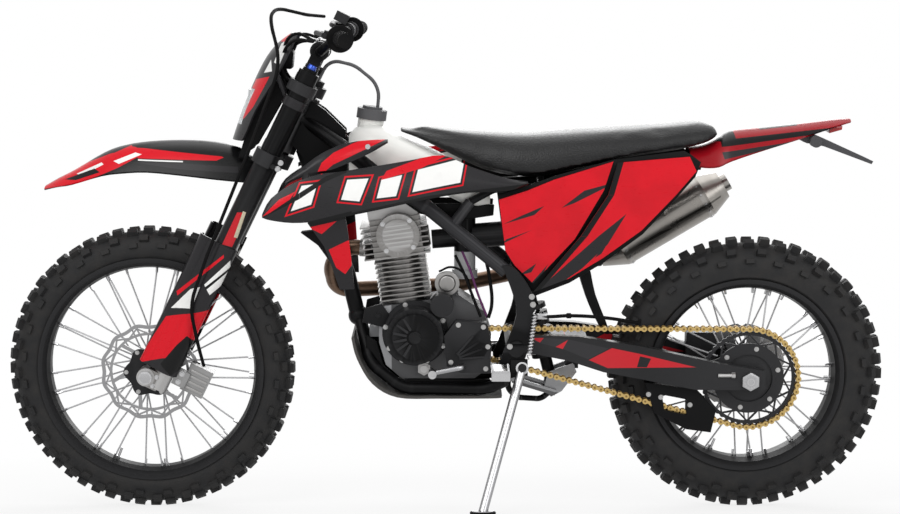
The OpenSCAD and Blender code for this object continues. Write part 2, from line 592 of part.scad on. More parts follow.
// Footrests, shift lever and brake pedal
module foot_controls() color([0.62, 0.62, 0.63]) park() difference() {
  union() {
    both() translate([64, 134.4, 362]) cube([44, 92, 20]);
    both() translate([70, 150, 382]) cube([32, 74, 5]);
    bent([[-4, -118.5, 378], [-4, -140, 378], [-74, -148, 366]], 6, 12);
    across(-76, 366, 10, -172, -138);
    bent([[110, 126.5, 345], [110, 148, 345], [20, 146, 334], [-96, 152, 374]], 7, 14);
    translate([-118, 136, 368]) cube([36, 40, 12]);
  }
  both() translate([74, 146, 355]) cube([24, 60, 24]);
}

// Steering assembly
module clamp_2d() difference() {
  union() {
    for (s = [-1, 1]) translate([fork_lead, s * fork_half]) circle(fork_r + 10);
    translate([fork_lead - 16, -fork_half]) square([46, 2 * fork_half]);
    translate([axis_lx, 0]) circle(stem_r + 15);
  }
  for (s = [-1, 1]) translate([fork_lead, s * fork_half]) circle(fork_r + seat_gap);
}
module triple_clamps() color([0.05, 0.05, 0.05]) park() fork_frame() difference() {
  union() {
    translate([0, 0, lower_clamp_z]) linear_extrude(34) clamp_2d();
    translate([0, 0, upper_clamp_z]) linear_extrude(26) clamp_2d();
    translate([axis_lx, 0, lower_clamp_z - 8]) cylinder(h = upper_clamp_z - lower_clamp_z + 42, r = stem_r);
    translate([axis_lx, 0, upper_clamp_z + 25]) cylinder(h = 14, r = 19);
    for (s = [-1, 1]) rod([fork_lead + 20, s * (fork_half + 12), lower_clamp_z + 10],
      [fork_lead + 20, s * (fork_half + 34), lower_clamp_z + 10], 6);
  }
  translate([axis_lx, 0, upper_clamp_z + 24]) cylinder(h = 40, r = 10);
  for (s = [-1, 1]) translate([fork_lead, s * fork_half, 0]) cylinder(h = 900, r = fork_r + seat_gap);
}
module fork_tubes() color([0.05, 0.05, 0.05]) park() fork_frame() both() translate([fork_lead, fork_half, 0]) {
  translate([0, 0, slider_top_z]) cylinder(h = lower_clamp_z - slider_top_z - 1, r = 27);
  translate([0, 0, slider_top_z + 2]) cylinder(h = fork_top_z - slider_top_z - 2, r = fork_r);
  translate([0, 0, fork_top_z - 1]) cylinder(h = 8, r = 18);
  translate([0, 0, fork_top_z + 6]) cylinder(h = 11, r = 9);
}
module fork_sliders() color([0.7, 0.7, 0.72]) park() fork_frame() both() difference() {
  union() {
    translate([fork_lead, fork_half, -16]) cylinder(h = slider_top_z + 16 - seat_gap, r = slider_r);
    across(0, 0, 22, 80, 128);
    translate([0, 84, -21]) cube([fork_lead, 42, 44]);
  }
  across(0, 0, front_axle_r + seat_gap, 60, 140);
}
// Guard section: a round back over the leg and a smaller nose ahead of it, joined by tangents
guard_nose = 46;
module guard_2d(o) {
  r1 = 32.2 - o;
  r2 = 21 - o;
  c = 11.2 / guard_nose;
  n = [c, sqrt(1 - c * c)];
  circle(r1);
  translate([-guard_nose, 0]) circle(r2);
  polygon([r1 * n, [-guard_nose, 0] + r2 * n, [-guard_nose + r2 * n[0], -r2 * n[1]], [r1 * n[0], -r1 * n[1]]]);
}
module fork_guards() color([0.75, 0.03, 0.04]) park() fork_frame() both() translate([fork_lead, -fork_half, 30]) {
  linear_extrude(344) difference() {
    guard_2d(0);
    guard_2d(3.4);
    translate([-90, 12]) square([200, 90]);
    translate([4, -8]) square([90, 90]);
  }
  rotate([0, 0, 105]) rotate_extrude(angle = 240) translate([slider_r + seat_gap, 0]) square([6, 14]);
}
// Fender rows: x, top z, half width, side drop
fender_rows = [[-1012, 800, 26, 6], [-978, 819, 44, 16], [-940, 838, 56, 28], [-867, 880, 70, 48],
  [-818, 897, 76, 58], [-757, 906, 80, 64], [-680, 909, 80, 74], [-600, 905, 76, 80], [-540, 892, 68, 74],
  [-508, 866, 58, 52]];
module front_fender() color([0.75, 0.03, 0.04]) park()
  loft([for (r = smooth(fender_rows, 3)) channel(r[0], r[1], r[2], r[3], skin, 6, 2.6)]);
// Mask rows: z, front x, half width, depth
mask_rows = [[914, -557, 78, 28], [940, -548, 87, 33], [990, -530, 100, 38], [1062, -498, 106, 52],
  [1110, -472, 96, 52], [1142, -445, 74, 40], [1166, -412, 48, 14]];
function mask_sec(r, t) = concat(
  [for (i = [-6:6]) let (u = i / 6) [r[1] + r[3] * pow(abs(u), 2.4), r[2] * u, r[0]]],
  [for (i = [6:-1:-6]) let (u = i / 6) [r[1] + t + r[3] * pow(abs(u), 2.4), (r[2] - t * 0.7) * u, r[0]]]);
module mask_shell() loft([for (r = smooth(mask_rows, 3)) mask_sec(r, skin)]);
module headlight_mask() color([0.75, 0.03, 0.04]) park() {
  difference() {
    mask_shell();
    translate([-620, -62, 952]) cube([160, 124, 84]);
  }
  fork_frame() both() difference() {
    union() {
      translate([fork_lead, fork_half, 738]) cylinder(h = 22, r = fork_r + 5);
      rod([fork_lead - 20, fork_half - 6, 749], [-32, 94, 790], 6);
    }
    translate([fork_lead, fork_half, 730]) cylinder(h = 40, r = fork_r + seat_gap);
  }
}
module headlight_lens() color([0.9, 0.9, 0.92, 0.6]) park() {
  intersection() {
    mask_shell();
    translate([-620, -61.6, 952.4]) cube([160, 123.2, 83.2]);
  }
  translate([-516, 0, 994]) rotate([0, 90, 0]) cylinder(h = 60, r1 = 40, r2 = 18);
}

// Handlebar path in the fork's own frame, left half
bar_a = [58, bar_half * 0.4726, bar_z + 56];
bar_b = [86, bar_half, bar_z + 70];
bar_l = norm(bar_b - bar_a);
function on_bar(u) = bar_a + (bar_b - bar_a) * u;
module handlebar() color([0.06, 0.06, 0.06]) park() fork_frame() {
  both() bent([[33, 50, bar_z], [35, 84, bar_z], bar_a, bar_b], bar_r, 60);
  across(33, bar_z, 14, -62, 62);
  both() across(33, bar_z, 23, 28, 54);
  both() translate([18, 28, upper_clamp_z + 26 + seat_gap]) cube([30, 26, 70]);
}
module grips() color([0.03, 0.03, 0.03]) park() fork_frame() both() difference() {
  union() {
    rod(on_bar(0.445), on_bar(1.014), 17);
    for (i = [0:6]) rod(on_bar(0.5 + i * 0.07), on_bar(0.53 + i * 0.07), 18.4);
    rod(on_bar(0.43), on_bar(0.455), 31);
  }
  rod(on_bar(0.1), on_bar(1 + seat_gap / bar_l), bar_r + seat_gap);
}
fwd = [-0.98, 0, -0.2];
module hand_controls() color([0.07, 0.07, 0.075]) park() fork_frame() {
  both() difference() {
    union() {
      rod(on_bar(0.16), on_bar(0.26), 18);
      rod(on_bar(0.21), on_bar(0.225) + 34 * fwd, 10);
      rod(on_bar(0.3), on_bar(0.4), 20);
      bent([on_bar(0.215) + 30 * fwd, on_bar(0.31) + 48 * fwd, on_bar(0.61) + 58 * fwd, on_bar(0.915) + 46 * fwd],
        6, 40);
    }
    rod(on_bar(0), on_bar(1), bar_r + seat_gap);
  }
  translate(on_bar(0.178) + [-44, -16, 10]) cube([34, 44, 24]);
}
module front_caliper() color([0.55, 0.56, 0.58]) park() fork_frame() difference() {
  union() {
    translate([84, -90, 2]) cube([58, 46, 70]);
    translate([59, -100, 8]) cube([34, 22, 40]);
  }
  across(0, 0, front_disc_r + 5, -67, -53);
}
module front_axle() color([0.6, 0.6, 0.62]) park() front_spin() difference() {
  union() {
    translate([0, 0, -132]) cylinder(h = 264, r = front_axle_r);
    translate([0, 0, 128 + seat_gap]) cylinder(h = 8, r = 16);
  }
  translate([0, 0, -140]) cylinder(h = 290, r = front_axle_bore);
}
// Brake hose from the right lever over the mask and down the left leg
hose_path = [at_fork([-4, 214, 944]), [-384, 120, 1204], [-448, 10, 1224], [-458, -84, 1204], [-428, -130, 1100],
  [-508, -147, 890], [-608, -149, 650], [-652, -147, 530], [-636, -147, 440], at_fork([112, -80, 77])];
module brake_hose() color([0.03, 0.03, 0.03]) park() bent(hose_path, 4, 160);

// Wheels, built round their own axle with the left side at +Z
// Tyre: a ring of sections whose middle lugs and shoulder lugs take turns, degrees round the section in lug_at
bead_up = 1.4;
lug_at = [-78, -74, -50, -46, -24, -20, 20, 24, 46, 50, 74, 78];
lug_mid = [0, 0, 0, 0, 0, 1, 1, 0, 0, 0, 0, 0];
lug_side = [0, 0.5, 0.6, 0, 0, 0, 0, 0, 0, 0.6, 0.5, 0];
function tyre_sec(R, s, b, w, lug, up, a) = let (h = s - 4, mid = R - lug - h,
  sec = concat([[b + bead_up, 1 - w]], [for (i = [0:len(lug_at) - 1]) let (q = h + lug * up[i])
    [mid + q * cos(lug_at[i]), q * sin(lug_at[i])]], [[b + bead_up, w - 1]]))
  [for (p = sec) [p[0] * cos(a), p[0] * sin(a), p[1]]];
module tyre_solid(R, s, b, w, lug, n) {
  turns = [0, 0.4, 0.5, 0.9];
  secs = [for (i = [0:n - 1], j = [0:3])
    tyre_sec(R, s, b, w, lug, j < 2 ? lug_mid : lug_side, (i + turns[j]) * 360 / n)];
  m = len(secs[0]);
  k = len(secs);
  polyhedron([for (c = secs) each c], [for (i = [0:k - 1], j = [0:m - 1]) let (a = i * m, b = (i + 1) % k * m,
    v = (j + 1) % m) each [[a + j, b + j, a + v], [a + v, b + j, b + v]]], 4);
}
module rim_solid(b, w) rotate_extrude($fn = 96) polygon([[b - 18, -14], [b - 12, -w + 4], [b - 3, -w - 6],
  [b + 8, -w - 6], [b + 8, -w - 2.6], [b - 0.4, -w - 0.6], [b - 0.4, w + 0.6], [b + 8, w + 2.6],
  [b + 8, w + 6], [b - 3, w + 6], [b - 12, w - 4], [b - 18, 14]]);
// Crossing spokes lie in two layers, so that they pass clear of each other
module spokes(fr, fz, rr, rz, n, sweep) for (i = [0:n - 1], s = [-1, 1]) {
  a = 360 * (i + (s > 0 ? 0.5 : 0)) / n;
  way = i % 2 == 0 ? 1 : -1;
  b = a + way * sweep;
  z = way * (spoke_r + 0.6);
  rod([fr * cos(a), fr * sin(a), s * fz + z], [rr * cos(b), rr * sin(b), s * rz + z], spoke_r);
}
module front_tyre() color([0.03, 0.03, 0.03]) park() front_spin()
  tyre_solid(front_tyre_r, front_tyre_s, front_bead_r, 36, front_lug, 17);
module front_rim() color([0.04, 0.04, 0.04]) park() front_spin() rim_solid(front_bead_r, 36);
module front_hub() color([0.06, 0.06, 0.06]) park() front_spin() {
  rotate_extrude() polygon([[front_axle_r + pin_gap, -58], [26, -58], [26, -43], [40, -41], [40, -28], [24, -20],
    [24, 20], [40, 28], [40, 41], [44, 44], [44, 64], [front_axle_r + pin_gap, 64]]);
  spokes(37, 34.5, front_bead_r - 19, 7, 18, 24);
}
module front_disc() color([0.6, 0.6, 0.62]) park() front_spin() translate([0, 0, 58]) linear_extrude(disc_t)
  difference() {
    circle(front_disc_r);
    circle(44 + seat_gap);
    for (i = [0:11]) rotate(i * 30) translate([front_disc_r + 6, 0]) circle(11);
    for (i = [0:5]) rotate(i * 60) translate([74.5, 0]) circle(24);
    for (i = [0:11]) rotate(i * 30 + 15) translate([front_disc_r - 17, 0]) circle(4.5);
  }
module rear_tyre() color([0.03, 0.03, 0.03]) park() rear_spin()
  tyre_solid(rear_tyre_r, rear_tyre_s, rear_bead_r, 44, rear_lug, 17);
module rear_rim() color([0.04, 0.04, 0.04]) park() rear_spin() rim_solid(rear_bead_r, 44);
module rear_hub() color([0.06, 0.06, 0.06]) park() rear_spin() {
  rotate_extrude() polygon([[rear_axle_r + pin_gap, -70], [24, -70], [24, -61], [56, -61], [56, -56], [34, -52],
    [46, -47], [46, -34], [28, -25], [28, 25], [46, 34], [46, 47], [60, 54], [84, 62], [84, chain_y - 3 - seat_gap],
    [rear_axle_r + pin_gap, chain_y - 3 - seat_gap]]);
  spokes(43, 40.5, rear_bead_r - 19, 9, 18, 26);
}
module rear_disc() color([0.6, 0.6, 0.62]) park() rear_spin() translate([0, 0, -61 - seat_gap - disc_t])
  linear_extrude(disc_t) difference() {
    circle(rear_disc_r);
    circle(24 + seat_gap);
    for (i = [0:11]) rotate(i * 30) translate([rear_disc_r + 6, 0]) circle(11);
    for (i = [0:5]) rotate(i * 60 + 30) translate([66, 0]) circle(14);
  }

// Side stand: eye on the bracket's pin, leg, and a foot flat on the ground
foot_top = stand_g + 9 * [0, sin(lean), cos(lean)];
module side_stand() color([0.6, 0.6, 0.61]) park() {
  difference() {
    union() {
      stand_axis(-8, 8, 15);
      rod(stand_p, foot_top, stand_r);
    }
    stand_axis(-20, 20, 6 + pin_gap);
  }
  translate(stand_g) rotate([-lean, 0, 0]) cylinder(h = 12, r = 26);
}
spring_a = [170, -134, 516];
spring_b = [154, -150, 400];
module stand_spring() color([0.5, 0.5, 0.5]) park() {
  rod(spring_a, spring_b, 4.4);
  pitch_v = (spring_b - spring_a) / 12;
  for (i = [1:11]) rod(spring_a + (i - 0.25) * pitch_v, spring_a + (i + 0.25) * pitch_v, 6.5);
}

frame_spars();
frame_cradle();
pivot_plates();
subframe();
crankcase();
engine_covers();
barrel();
cylinder_head();
carburettor();
airbox();
exhaust_pipe();
muffler();
fuel_tank();
tank_cap();
shrouds();
seat();
side_panels();
rear_fender();
tail_light();
skid_plate();
swingarm();
chain();
chain_guide();
drive_sprocket();
rear_axle();
rear_caliper();
shock();
linkage();
foot_controls();
triple_clamps();
fork_tubes();
fork_sliders();
fork_guards();
front_fender();
headlight_mask();
headlight_lens();
handlebar();
grips();
hand_controls();
front_caliper();
front_axle();
brake_hose();
front_tyre();
front_rim();
front_hub();
front_disc();
rear_tyre();
rear_rim();
rear_hub();
rear_sprocket();
rear_disc();
side_stand();
stand_spring();
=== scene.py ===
"""Dresses the enduro motorcycle that leans on its side stand."""
import logging
import math
from dataclasses import dataclass, field
from enum import Enum
from functools import cached_property, partialmethod
from typing import Iterable, Sequence

import bmesh
import bpy
from mathutils import Matrix, Vector


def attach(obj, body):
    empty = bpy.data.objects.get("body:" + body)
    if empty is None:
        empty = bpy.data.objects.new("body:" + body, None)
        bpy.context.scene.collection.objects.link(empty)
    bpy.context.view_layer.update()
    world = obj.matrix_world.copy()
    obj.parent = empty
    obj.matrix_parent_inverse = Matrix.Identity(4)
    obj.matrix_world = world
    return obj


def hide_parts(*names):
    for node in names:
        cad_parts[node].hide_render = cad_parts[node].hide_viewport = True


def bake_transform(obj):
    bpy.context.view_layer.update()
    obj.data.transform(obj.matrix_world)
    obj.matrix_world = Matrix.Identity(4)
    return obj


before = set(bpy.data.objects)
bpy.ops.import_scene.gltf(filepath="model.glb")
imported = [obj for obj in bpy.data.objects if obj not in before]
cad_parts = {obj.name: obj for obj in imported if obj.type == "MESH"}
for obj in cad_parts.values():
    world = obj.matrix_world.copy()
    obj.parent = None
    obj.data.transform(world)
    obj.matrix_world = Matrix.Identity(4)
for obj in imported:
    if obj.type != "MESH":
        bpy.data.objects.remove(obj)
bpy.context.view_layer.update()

logging.basicConfig(level=logging.INFO, format="%(message)s")
LOG = logging.getLogger("enduro")

Colour = tuple[float, float, float]
Point = Sequence[float]
MM = 0.001
WELD = 0.00003


def tint(r: int, g: int, b: int) -> Colour:
    """Linear colour of an 8-bit screen colour.

    Args:
        r: red, 0 to 255.
        g: green.
        b: blue.

    Returns:
        The colour, 0 to 1.
    """
    def lin(v: int) -> float:
        """One channel."""
        c = v / 255
        return c / 12.92 if c <= 0.04045 else ((c + 0.055) / 1.055) ** 2.4
    return (lin(r), lin(g), lin(b))


def grey(level: int, cool: int = 1) -> Colour:
    """Grey with a little more blue in it."""
    return tint(level, level, level + cool)


def scaled(colour: Colour, share: float, lift: float = 0.0) -> Colour:
    """A colour made darker, and lifted a little."""
    return tuple(c * share + lift for c in colour)


RED = tint(208, 15, 32)
# Red as it shows in shade, used as painted shade on the tail.
SHADED_RED = tint(150, 14, 26)
CHARCOAL = tint(36, 35, 37)
BLACK = grey(9)
WHITE = tint(236, 236, 234)


class Body(Enum):
    """Moving bodies of the machine."""
    CHASSIS = "chassis"
    STEERING = "steering"
    FRONT_WHEEL = "front_wheel"
    REAR_WHEEL = "rear_wheel"
    STAND = "side_stand"


@dataclass(frozen=True)
class Stance:
    """How the upright machine, in millimetres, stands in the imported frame, in metres."""
    lean: float = math.radians(10.5)
    park: tuple[float, float, float] = (0.044, 0.212, 0.0)

    @property
    def matrix(self) -> Matrix:
        """Upright millimetres to packed metres."""
        return Matrix.Translation(self.park) @ Matrix.Rotation(self.lean, 4, "X") @ Matrix.Scale(MM, 4)


STANCE = Stance()
FRONT_TYRE, REAR_TYRE = (350.0, 45.0), (337.0, 56.0)


def axle(x: float, radius: float, half: float) -> Vector:
    """Middle of a leaning wheel whose rounded tyre is on the ground."""
    return Vector((x, 0.0, radius - half + half / math.cos(STANCE.lean)))


def ring(r: float, degrees: Iterable[float]) -> list[tuple[float, float]]:
    """Places on a circle at the given angles."""
    return [(r * math.cos(math.radians(a)), r * math.sin(math.radians(a))) for a in degrees]


FRONT_AXLE, REAR_AXLE = axle(-765.0, *FRONT_TYRE), axle(690.0, *REAR_TYRE)
RAKE = math.radians(26.5)
FORK = Matrix.Translation(FRONT_AXLE) @ Matrix.Rotation(RAKE, 4, "Y")
QUARTER = Matrix.Rotation(math.pi / 2, 4, "X")
FRONT_SPIN = Matrix.Translation(FRONT_AXLE) @ QUARTER
REAR_SPIN = Matrix.Translation(REAR_AXLE) @ QUARTER
UPRIGHT = Matrix.Identity(4)
MIRROR = Matrix.Scale(-1, 4, (0, 1, 0))
LEFT, UP = (0, -1, 0), (0, 0, 1)
SIDES = (-1, 1)


class Sock:
    """A shader value that takes part in Python arithmetic."""

    def __init__(self, shader: "Shader", socket: bpy.types.NodeSocket) -> None:
        """Wraps one output socket."""
        self.shader = shader
        self.socket = socket

    def _math(self, op: str, other: "Sock | float" = 0.0) -> "Sock":
        """Adds a Math node with this value first."""
        return self.shader.node("ShaderNodeMath", {"operation": op}, {0: self, 1: other})

    def _back(self, op: str, other: float) -> "Sock":
        """Adds a Math node with this value second."""
        return self.shader.node("ShaderNodeMath", {"operation": op}, {0: other, 1: self})

    __add__ = __radd__ = partialmethod(_math, "ADD")
    __mul__ = __rmul__ = partialmethod(_math, "MULTIPLY")
    __sub__ = partialmethod(_math, "SUBTRACT")
    __rsub__ = partialmethod(_back, "SUBTRACT")
    __truediv__ = partialmethod(_math, "DIVIDE")
    __rtruediv__ = partialmethod(_back, "DIVIDE")
    low = partialmethod(_math, "MINIMUM")
    high = partialmethod(_math, "MAXIMUM")
    wave = partialmethod(_math, "SINE")

    def held(self) -> "Sock":
        """The value kept between 0 and 1."""
        return self.high(0.0).low(1.0)

    def step(self, edge: float, width: float) -> "Sock":
        """Soft step from 0 to 1 round an edge.

        Args:
            edge: value at the middle of the step.
            width: how far the step takes to rise.

        Returns:
            The step, held between 0 and 1.
        """
        return ((self - edge) / width + 0.5).held()


@dataclass(frozen=True)
class Stripe:
    """One printed shape on a side, in upright X and Z, with a thin line round it where one is given."""
    colour: Colour
    points: tuple[tuple[float, float], ...]
    line: Colour | None = None


def patch(colour: Colour, low: Point, high: Point) -> Stripe:
    """A rectangle between two corners."""
    return Stripe(colour, ((low[0], low[1]), (high[0], low[1]), (high[0], high[1]), (low[0], high[1])))


class Shader:
    """Builds the nodes of a material or of the world."""
    soft = 0.8
    line = (-8.5, -5.0)

    def __init__(self, owner: "bpy.types.Material | bpy.types.World") -> None:
        """Starts the owner's own nodes."""
        owner.use_nodes = True
        self.owner = owner
        self.tree = owner.node_tree

    @classmethod
    def material(cls, name: str) -> "Shader":
        """Starts a material with a Principled shader."""
        return cls(bpy.data.materials.new(name))

    def node(self, kind: str, settings: dict | None = None, inputs: dict | None = None,
             out: int | str = 0) -> Sock:
        """Adds any node.

        Args:
            kind: the node's type.
            settings: properties, set first.
            inputs: values or links by socket index or name.
            out: the output to return.

        Returns:
            The wrapped output.
        """
        made = self.tree.nodes.new(kind)
        for key, value in (settings or {}).items():
            setattr(made, key, value)
        for key, value in (inputs or {}).items():
            self.feed(made.inputs[key], value)
        return Sock(self, made.outputs[out])

    def feed(self, socket: bpy.types.NodeSocket, value: object) -> None:
        """Sets or links one input.

        Args:
            socket: the input.
            value: a number, colour, vector or wrapped output.
        """
        if isinstance(value, Sock):
            self.tree.links.new(value.socket, socket)
        elif isinstance(value, tuple) and len(value) == 3 and socket.type == "RGBA":
            socket.default_value = (*value, 1.0)
        else:
            socket.default_value = value

    @cached_property
    def upright(self) -> Sock:
        """Object coordinates turned back to the upright machine, in millimetres."""
        return self.node("ShaderNodeMapping", {"vector_type": "TEXTURE"}, {
            "Vector": self.node("ShaderNodeTexCoord", out="Object"), "Location": STANCE.park,
            "Rotation": (STANCE.lean, 0.0, 0.0), "Scale": (MM, MM, MM)})

    def axis(self, name: str) -> Sock:
        """One upright coordinate, "X", "Y" or "Z"."""
        return self.node("ShaderNodeSeparateXYZ", None, {0: self.upright}, name)

    def vector(self, op: str, a: object, b: object = (0.0, 0.0, 0.0), out: int | str = "Value") -> Sock:
        """Adds one Vector Math node."""
        return self.node("ShaderNodeVectorMath", {"operation": op}, {0: a, 1: b}, out)

    def outline(self, points: Sequence[Point]) -> Sock:
        """Distance inside a convex outline in X and Z, in millimetres.

        Args:
            points: corners in either order.

        Returns:
            A value above zero inside.
        """
        sides = list(zip(points, [*points[1:], points[0]]))
        turn = math.copysign(1.0, sum(p[0] * q[1] - q[0] * p[1] for p, q in sides))
        inside: Sock | None = None
        for p, q in sides:
            n = Vector((p[1] - q[1], q[0] - p[0])).normalized() * turn
            depth = self.vector("DOT_PRODUCT", self.upright, (n.x, 0.0, n.y)) - (n.x * p[0] + n.y * p[1])
            inside = depth if inside is None else inside.low(depth)
        return inside

    def paint(self, colour: object, stripes: Iterable[Stripe]) -> object:
        """Lays printed shapes over a colour.

        Args:
            colour: what is under them.
            stripes: the shapes, from the lowest up.

        Returns:
            The painted colour.
        """
        for stripe in stripes:
            inside = self.outline(stripe.points)
            if stripe.line is not None:
                start, end = (inside.step(edge, self.soft) for edge in self.line)
                colour = self.mix(start * (1.0 - end), colour, stripe.line)
            colour = self.mix(inside.step(0.0, self.soft), colour, stripe.colour)
        return colour

    def mix(self, share: "Sock | float", a: object, b: object) -> Sock:
        """Mixes two colours."""
        return self.node("ShaderNodeMix", {"data_type": "RGBA"}, {0: share, 6: a, 7: b}, 2)

    def grain(self, scale: float, detail: float, rough: float = 0.55, stretch: Point = (1, 1, 1)) -> Sock:
        """Noise on upright millimetres.

        Args:
            scale: cells per millimetre.
            detail: octaves.
            rough: strength of the finer octaves.
            stretch: scale of each axis.

        Returns:
            The noise, about 0 to 1.
        """
        return self.node("ShaderNodeTexNoise", None, {
            "Vector": self.vector("MULTIPLY", self.upright, tuple(stretch), 0), "Scale": scale,
            "Detail": detail, "Roughness": rough})

    def cells(self, scale: float) -> Sock:
        """Cell distance on upright millimetres."""
        return self.node("ShaderNodeTexVoronoi", None, {"Vector": self.upright, "Scale": scale})

    def bump(self, height: Sock, distance: float, strength: float) -> Sock:
        """Normal from a height, whose full range is a distance in millimetres."""
        return self.node("ShaderNodeBump", None, {
            "Height": height, "Distance": distance * MM, "Strength": strength})

    def seen(self) -> Sock:
        """Whether a ray shows a surface to the camera, straight or by gloss and glass.

        Returns:
            1 for such a ray, and 0 for light.
        """
        rays = [self.node("ShaderNodeLightPath", out=f"Is {kind} Ray")
                for kind in ("Camera", "Glossy", "Transmission")]
        return rays[0].high(rays[1]).high(rays[2])

    def done(self, **sockets: object) -> bpy.types.Material:
        """Sets the Principled sockets.

        Args:
            sockets: values or links, with underscores for spaces.

        Returns:
            The material.
        """
        for key, value in sockets.items():
            self.feed(self.tree.nodes["Principled BSDF"].inputs[key.replace("_", " ")], value)
        return self.owner


@dataclass(frozen=True)
class Plastic:
    """Moulded plastic with a fine grain and slight scuffs."""
    name: str
    colour: Colour
    rough: float
    shine: float = 0.1
    grain: float = 0.04

    def make(self) -> bpy.types.Material:
        """Builds the material.

        Returns:
            The material.
        """
        s = Shader.material(self.name)
        cloud = s.grain(0.012, 3.0)
        base = s.mix(cloud.step(0.5, 0.6) * 0.35, self.colour, scaled(self.colour, 0.8, 0.006))
        return s.done(Base_Color=base, Roughness=cloud * 0.16 + (self.rough - 0.08),
                      Normal=s.bump(s.grain(1.2, 2.0), self.grain, 0.6), Specular_IOR_Level=self.shine)


@dataclass(frozen=True)
class Metal:
    """Bare or coated metal with cast grain or brushing, paler worn edges, painted zones and a bright rim."""
    name: str
    colour: Colour
    rough: float
    metallic: float
    cast: float
    edge: Colour
    wear: float
    zones: tuple[Stripe, ...] = ()
    hub: tuple[float, float, float] | None = None
    brush: Point = (1, 1, 1)
    rim: Colour = grey(186, 2)

    def make(self) -> bpy.types.Material:
        """Builds the material.

        Returns:
            The material.
        """
        s = Shader.material(self.name)
        cloud = s.grain(0.02, 4.0)
        lines = s.grain(0.9, 2.0, 0.6, self.brush)
        worn = s.node("ShaderNodeNewGeometry", out="Pointiness").step(0.56, 0.1) * self.wear
        shade = s.mix(cloud.step(0.5, 0.8) * 0.4, self.colour, scaled(self.colour, 0.72))
        shade = s.paint(shade, self.zones)
        if self.hub is not None:
            x, z, r = self.hub
            flat = s.node("ShaderNodeCombineXYZ", None, {0: s.axis("X"), 1: s.axis("Z")})
            shade = s.mix(s.vector("DISTANCE", flat, (x, z, 0.0)).step(r, 1.0), shade, self.rim)
        height = lines * 0.4 + s.cells(0.7) * self.cast if self.cast else lines
        return s.done(Base_Color=s.mix(worn, shade, self.edge), Metallic=self.metallic,
                      Roughness=cloud * 0.2 + lines * 0.1 + (self.rough - 0.15),
                      Normal=s.bump(height, 0.12 if self.cast else 0.03, 0.6), Specular_IOR_Level=0.12)


@dataclass(frozen=True)
class Rubber:
    """Moulded rubber with dust in its grain."""
    name: str
    colour: Colour
    dust: float
    shine: float = 0.08

    def make(self) -> bpy.types.Material:
        """Builds the material.

        Returns:
            The material.
        """
        s = Shader.material(self.name)
        cloud = s.grain(0.03, 5.0)
        base = s.mix(cloud.step(0.55, 0.3) * self.dust, self.colour, tint(46, 44, 42))
        return s.done(Base_Color=base, Roughness=cloud * 0.2 + 0.58,
                      Normal=s.bump(s.grain(0.8, 3.0), 0.12, 0.7), Specular_IOR_Level=self.shine)


@dataclass(frozen=True)
class Cover:
    """Seat cover with small dimples and a soft sheen."""
    name: str = "seat_cover"

    def make(self) -> bpy.types.Material:
        """Builds the material.

        Returns:
            The material.
        """
        s = Shader.material(self.name)
        dimple = s.cells(0.24).step(0.42, 0.5)
        cloud = s.grain(0.01, 3.0)
        base = s.mix(cloud.step(0.5, 0.5) * 0.5, grey(12), grey(19))
        return s.done(Base_Color=base, Roughness=cloud * 0.12 + dimple * 0.06 + 0.32,
                      Normal=s.bump(dimple, 0.45, 0.8), Specular_IOR_Level=0.3)


@dataclass(frozen=True)
class Print:
    """Gloss panel with printed shapes, a fine orange-peel surface and light scuffs."""
    name: str
    base: Colour
    stripes: tuple[Stripe, ...]
    smoke: float
    rough: float = 0.28

    def make(self) -> bpy.types.Material:
        """Builds the material.

        Returns:
            The material.
        """
        s = Shader.material(self.name)
        cloud = s.grain(0.014, 4.0)
        plain = s.mix(cloud.step(0.54, 0.3) * self.smoke, self.base, scaled(self.base, 0.62))
        scuff = s.grain(0.25, 4.0, 0.7, (0.2, 1, 1))
        return s.done(Base_Color=s.paint(plain, self.stripes), Roughness=scuff * 0.2 + (self.rough - 0.08),
                      Coat_Weight=0.06, Coat_Roughness=0.12, Specular_IOR_Level=0.18,
                      Normal=s.bump(s.grain(0.35, 2.0), 0.05, 0.5))


@dataclass(frozen=True)
class Lens:
    """Clear or tinted moulded lens with ribs."""
    name: str
    colour: Colour
    through: float

    def make(self) -> bpy.types.Material:
        """Builds the material.

        Returns:
            The material.
        """
        s = Shader.material(self.name)
        ribs = (s.axis("Y") * 0.9).wave()
        cloud = s.grain(0.05, 3.0)
        base = s.mix(cloud * 0.2, self.colour, scaled(self.colour, 0.7))
        return s.done(Base_Color=base, Roughness=cloud * 0.06 + 0.05, Normal=s.bump(ribs, 0.35, 0.5),
                      Transmission_Weight=self.through, IOR=1.5)


Finish = Plastic | Metal | Rubber | Cover | Print | Lens


@dataclass
class Finishes:
    """Every material of the machine, made once and shared."""
    made: dict[str, bpy.types.Material] = field(default_factory=dict)

    def get(self, finish: Finish) -> bpy.types.Material:
        """The material of a finish.

        Args:
            finish: the finish.

        Returns:
            Its material, made at the first call.
        """
        if finish.name not in self.made:
            self.made[finish.name] = finish.make()
        return self.made[finish.name]


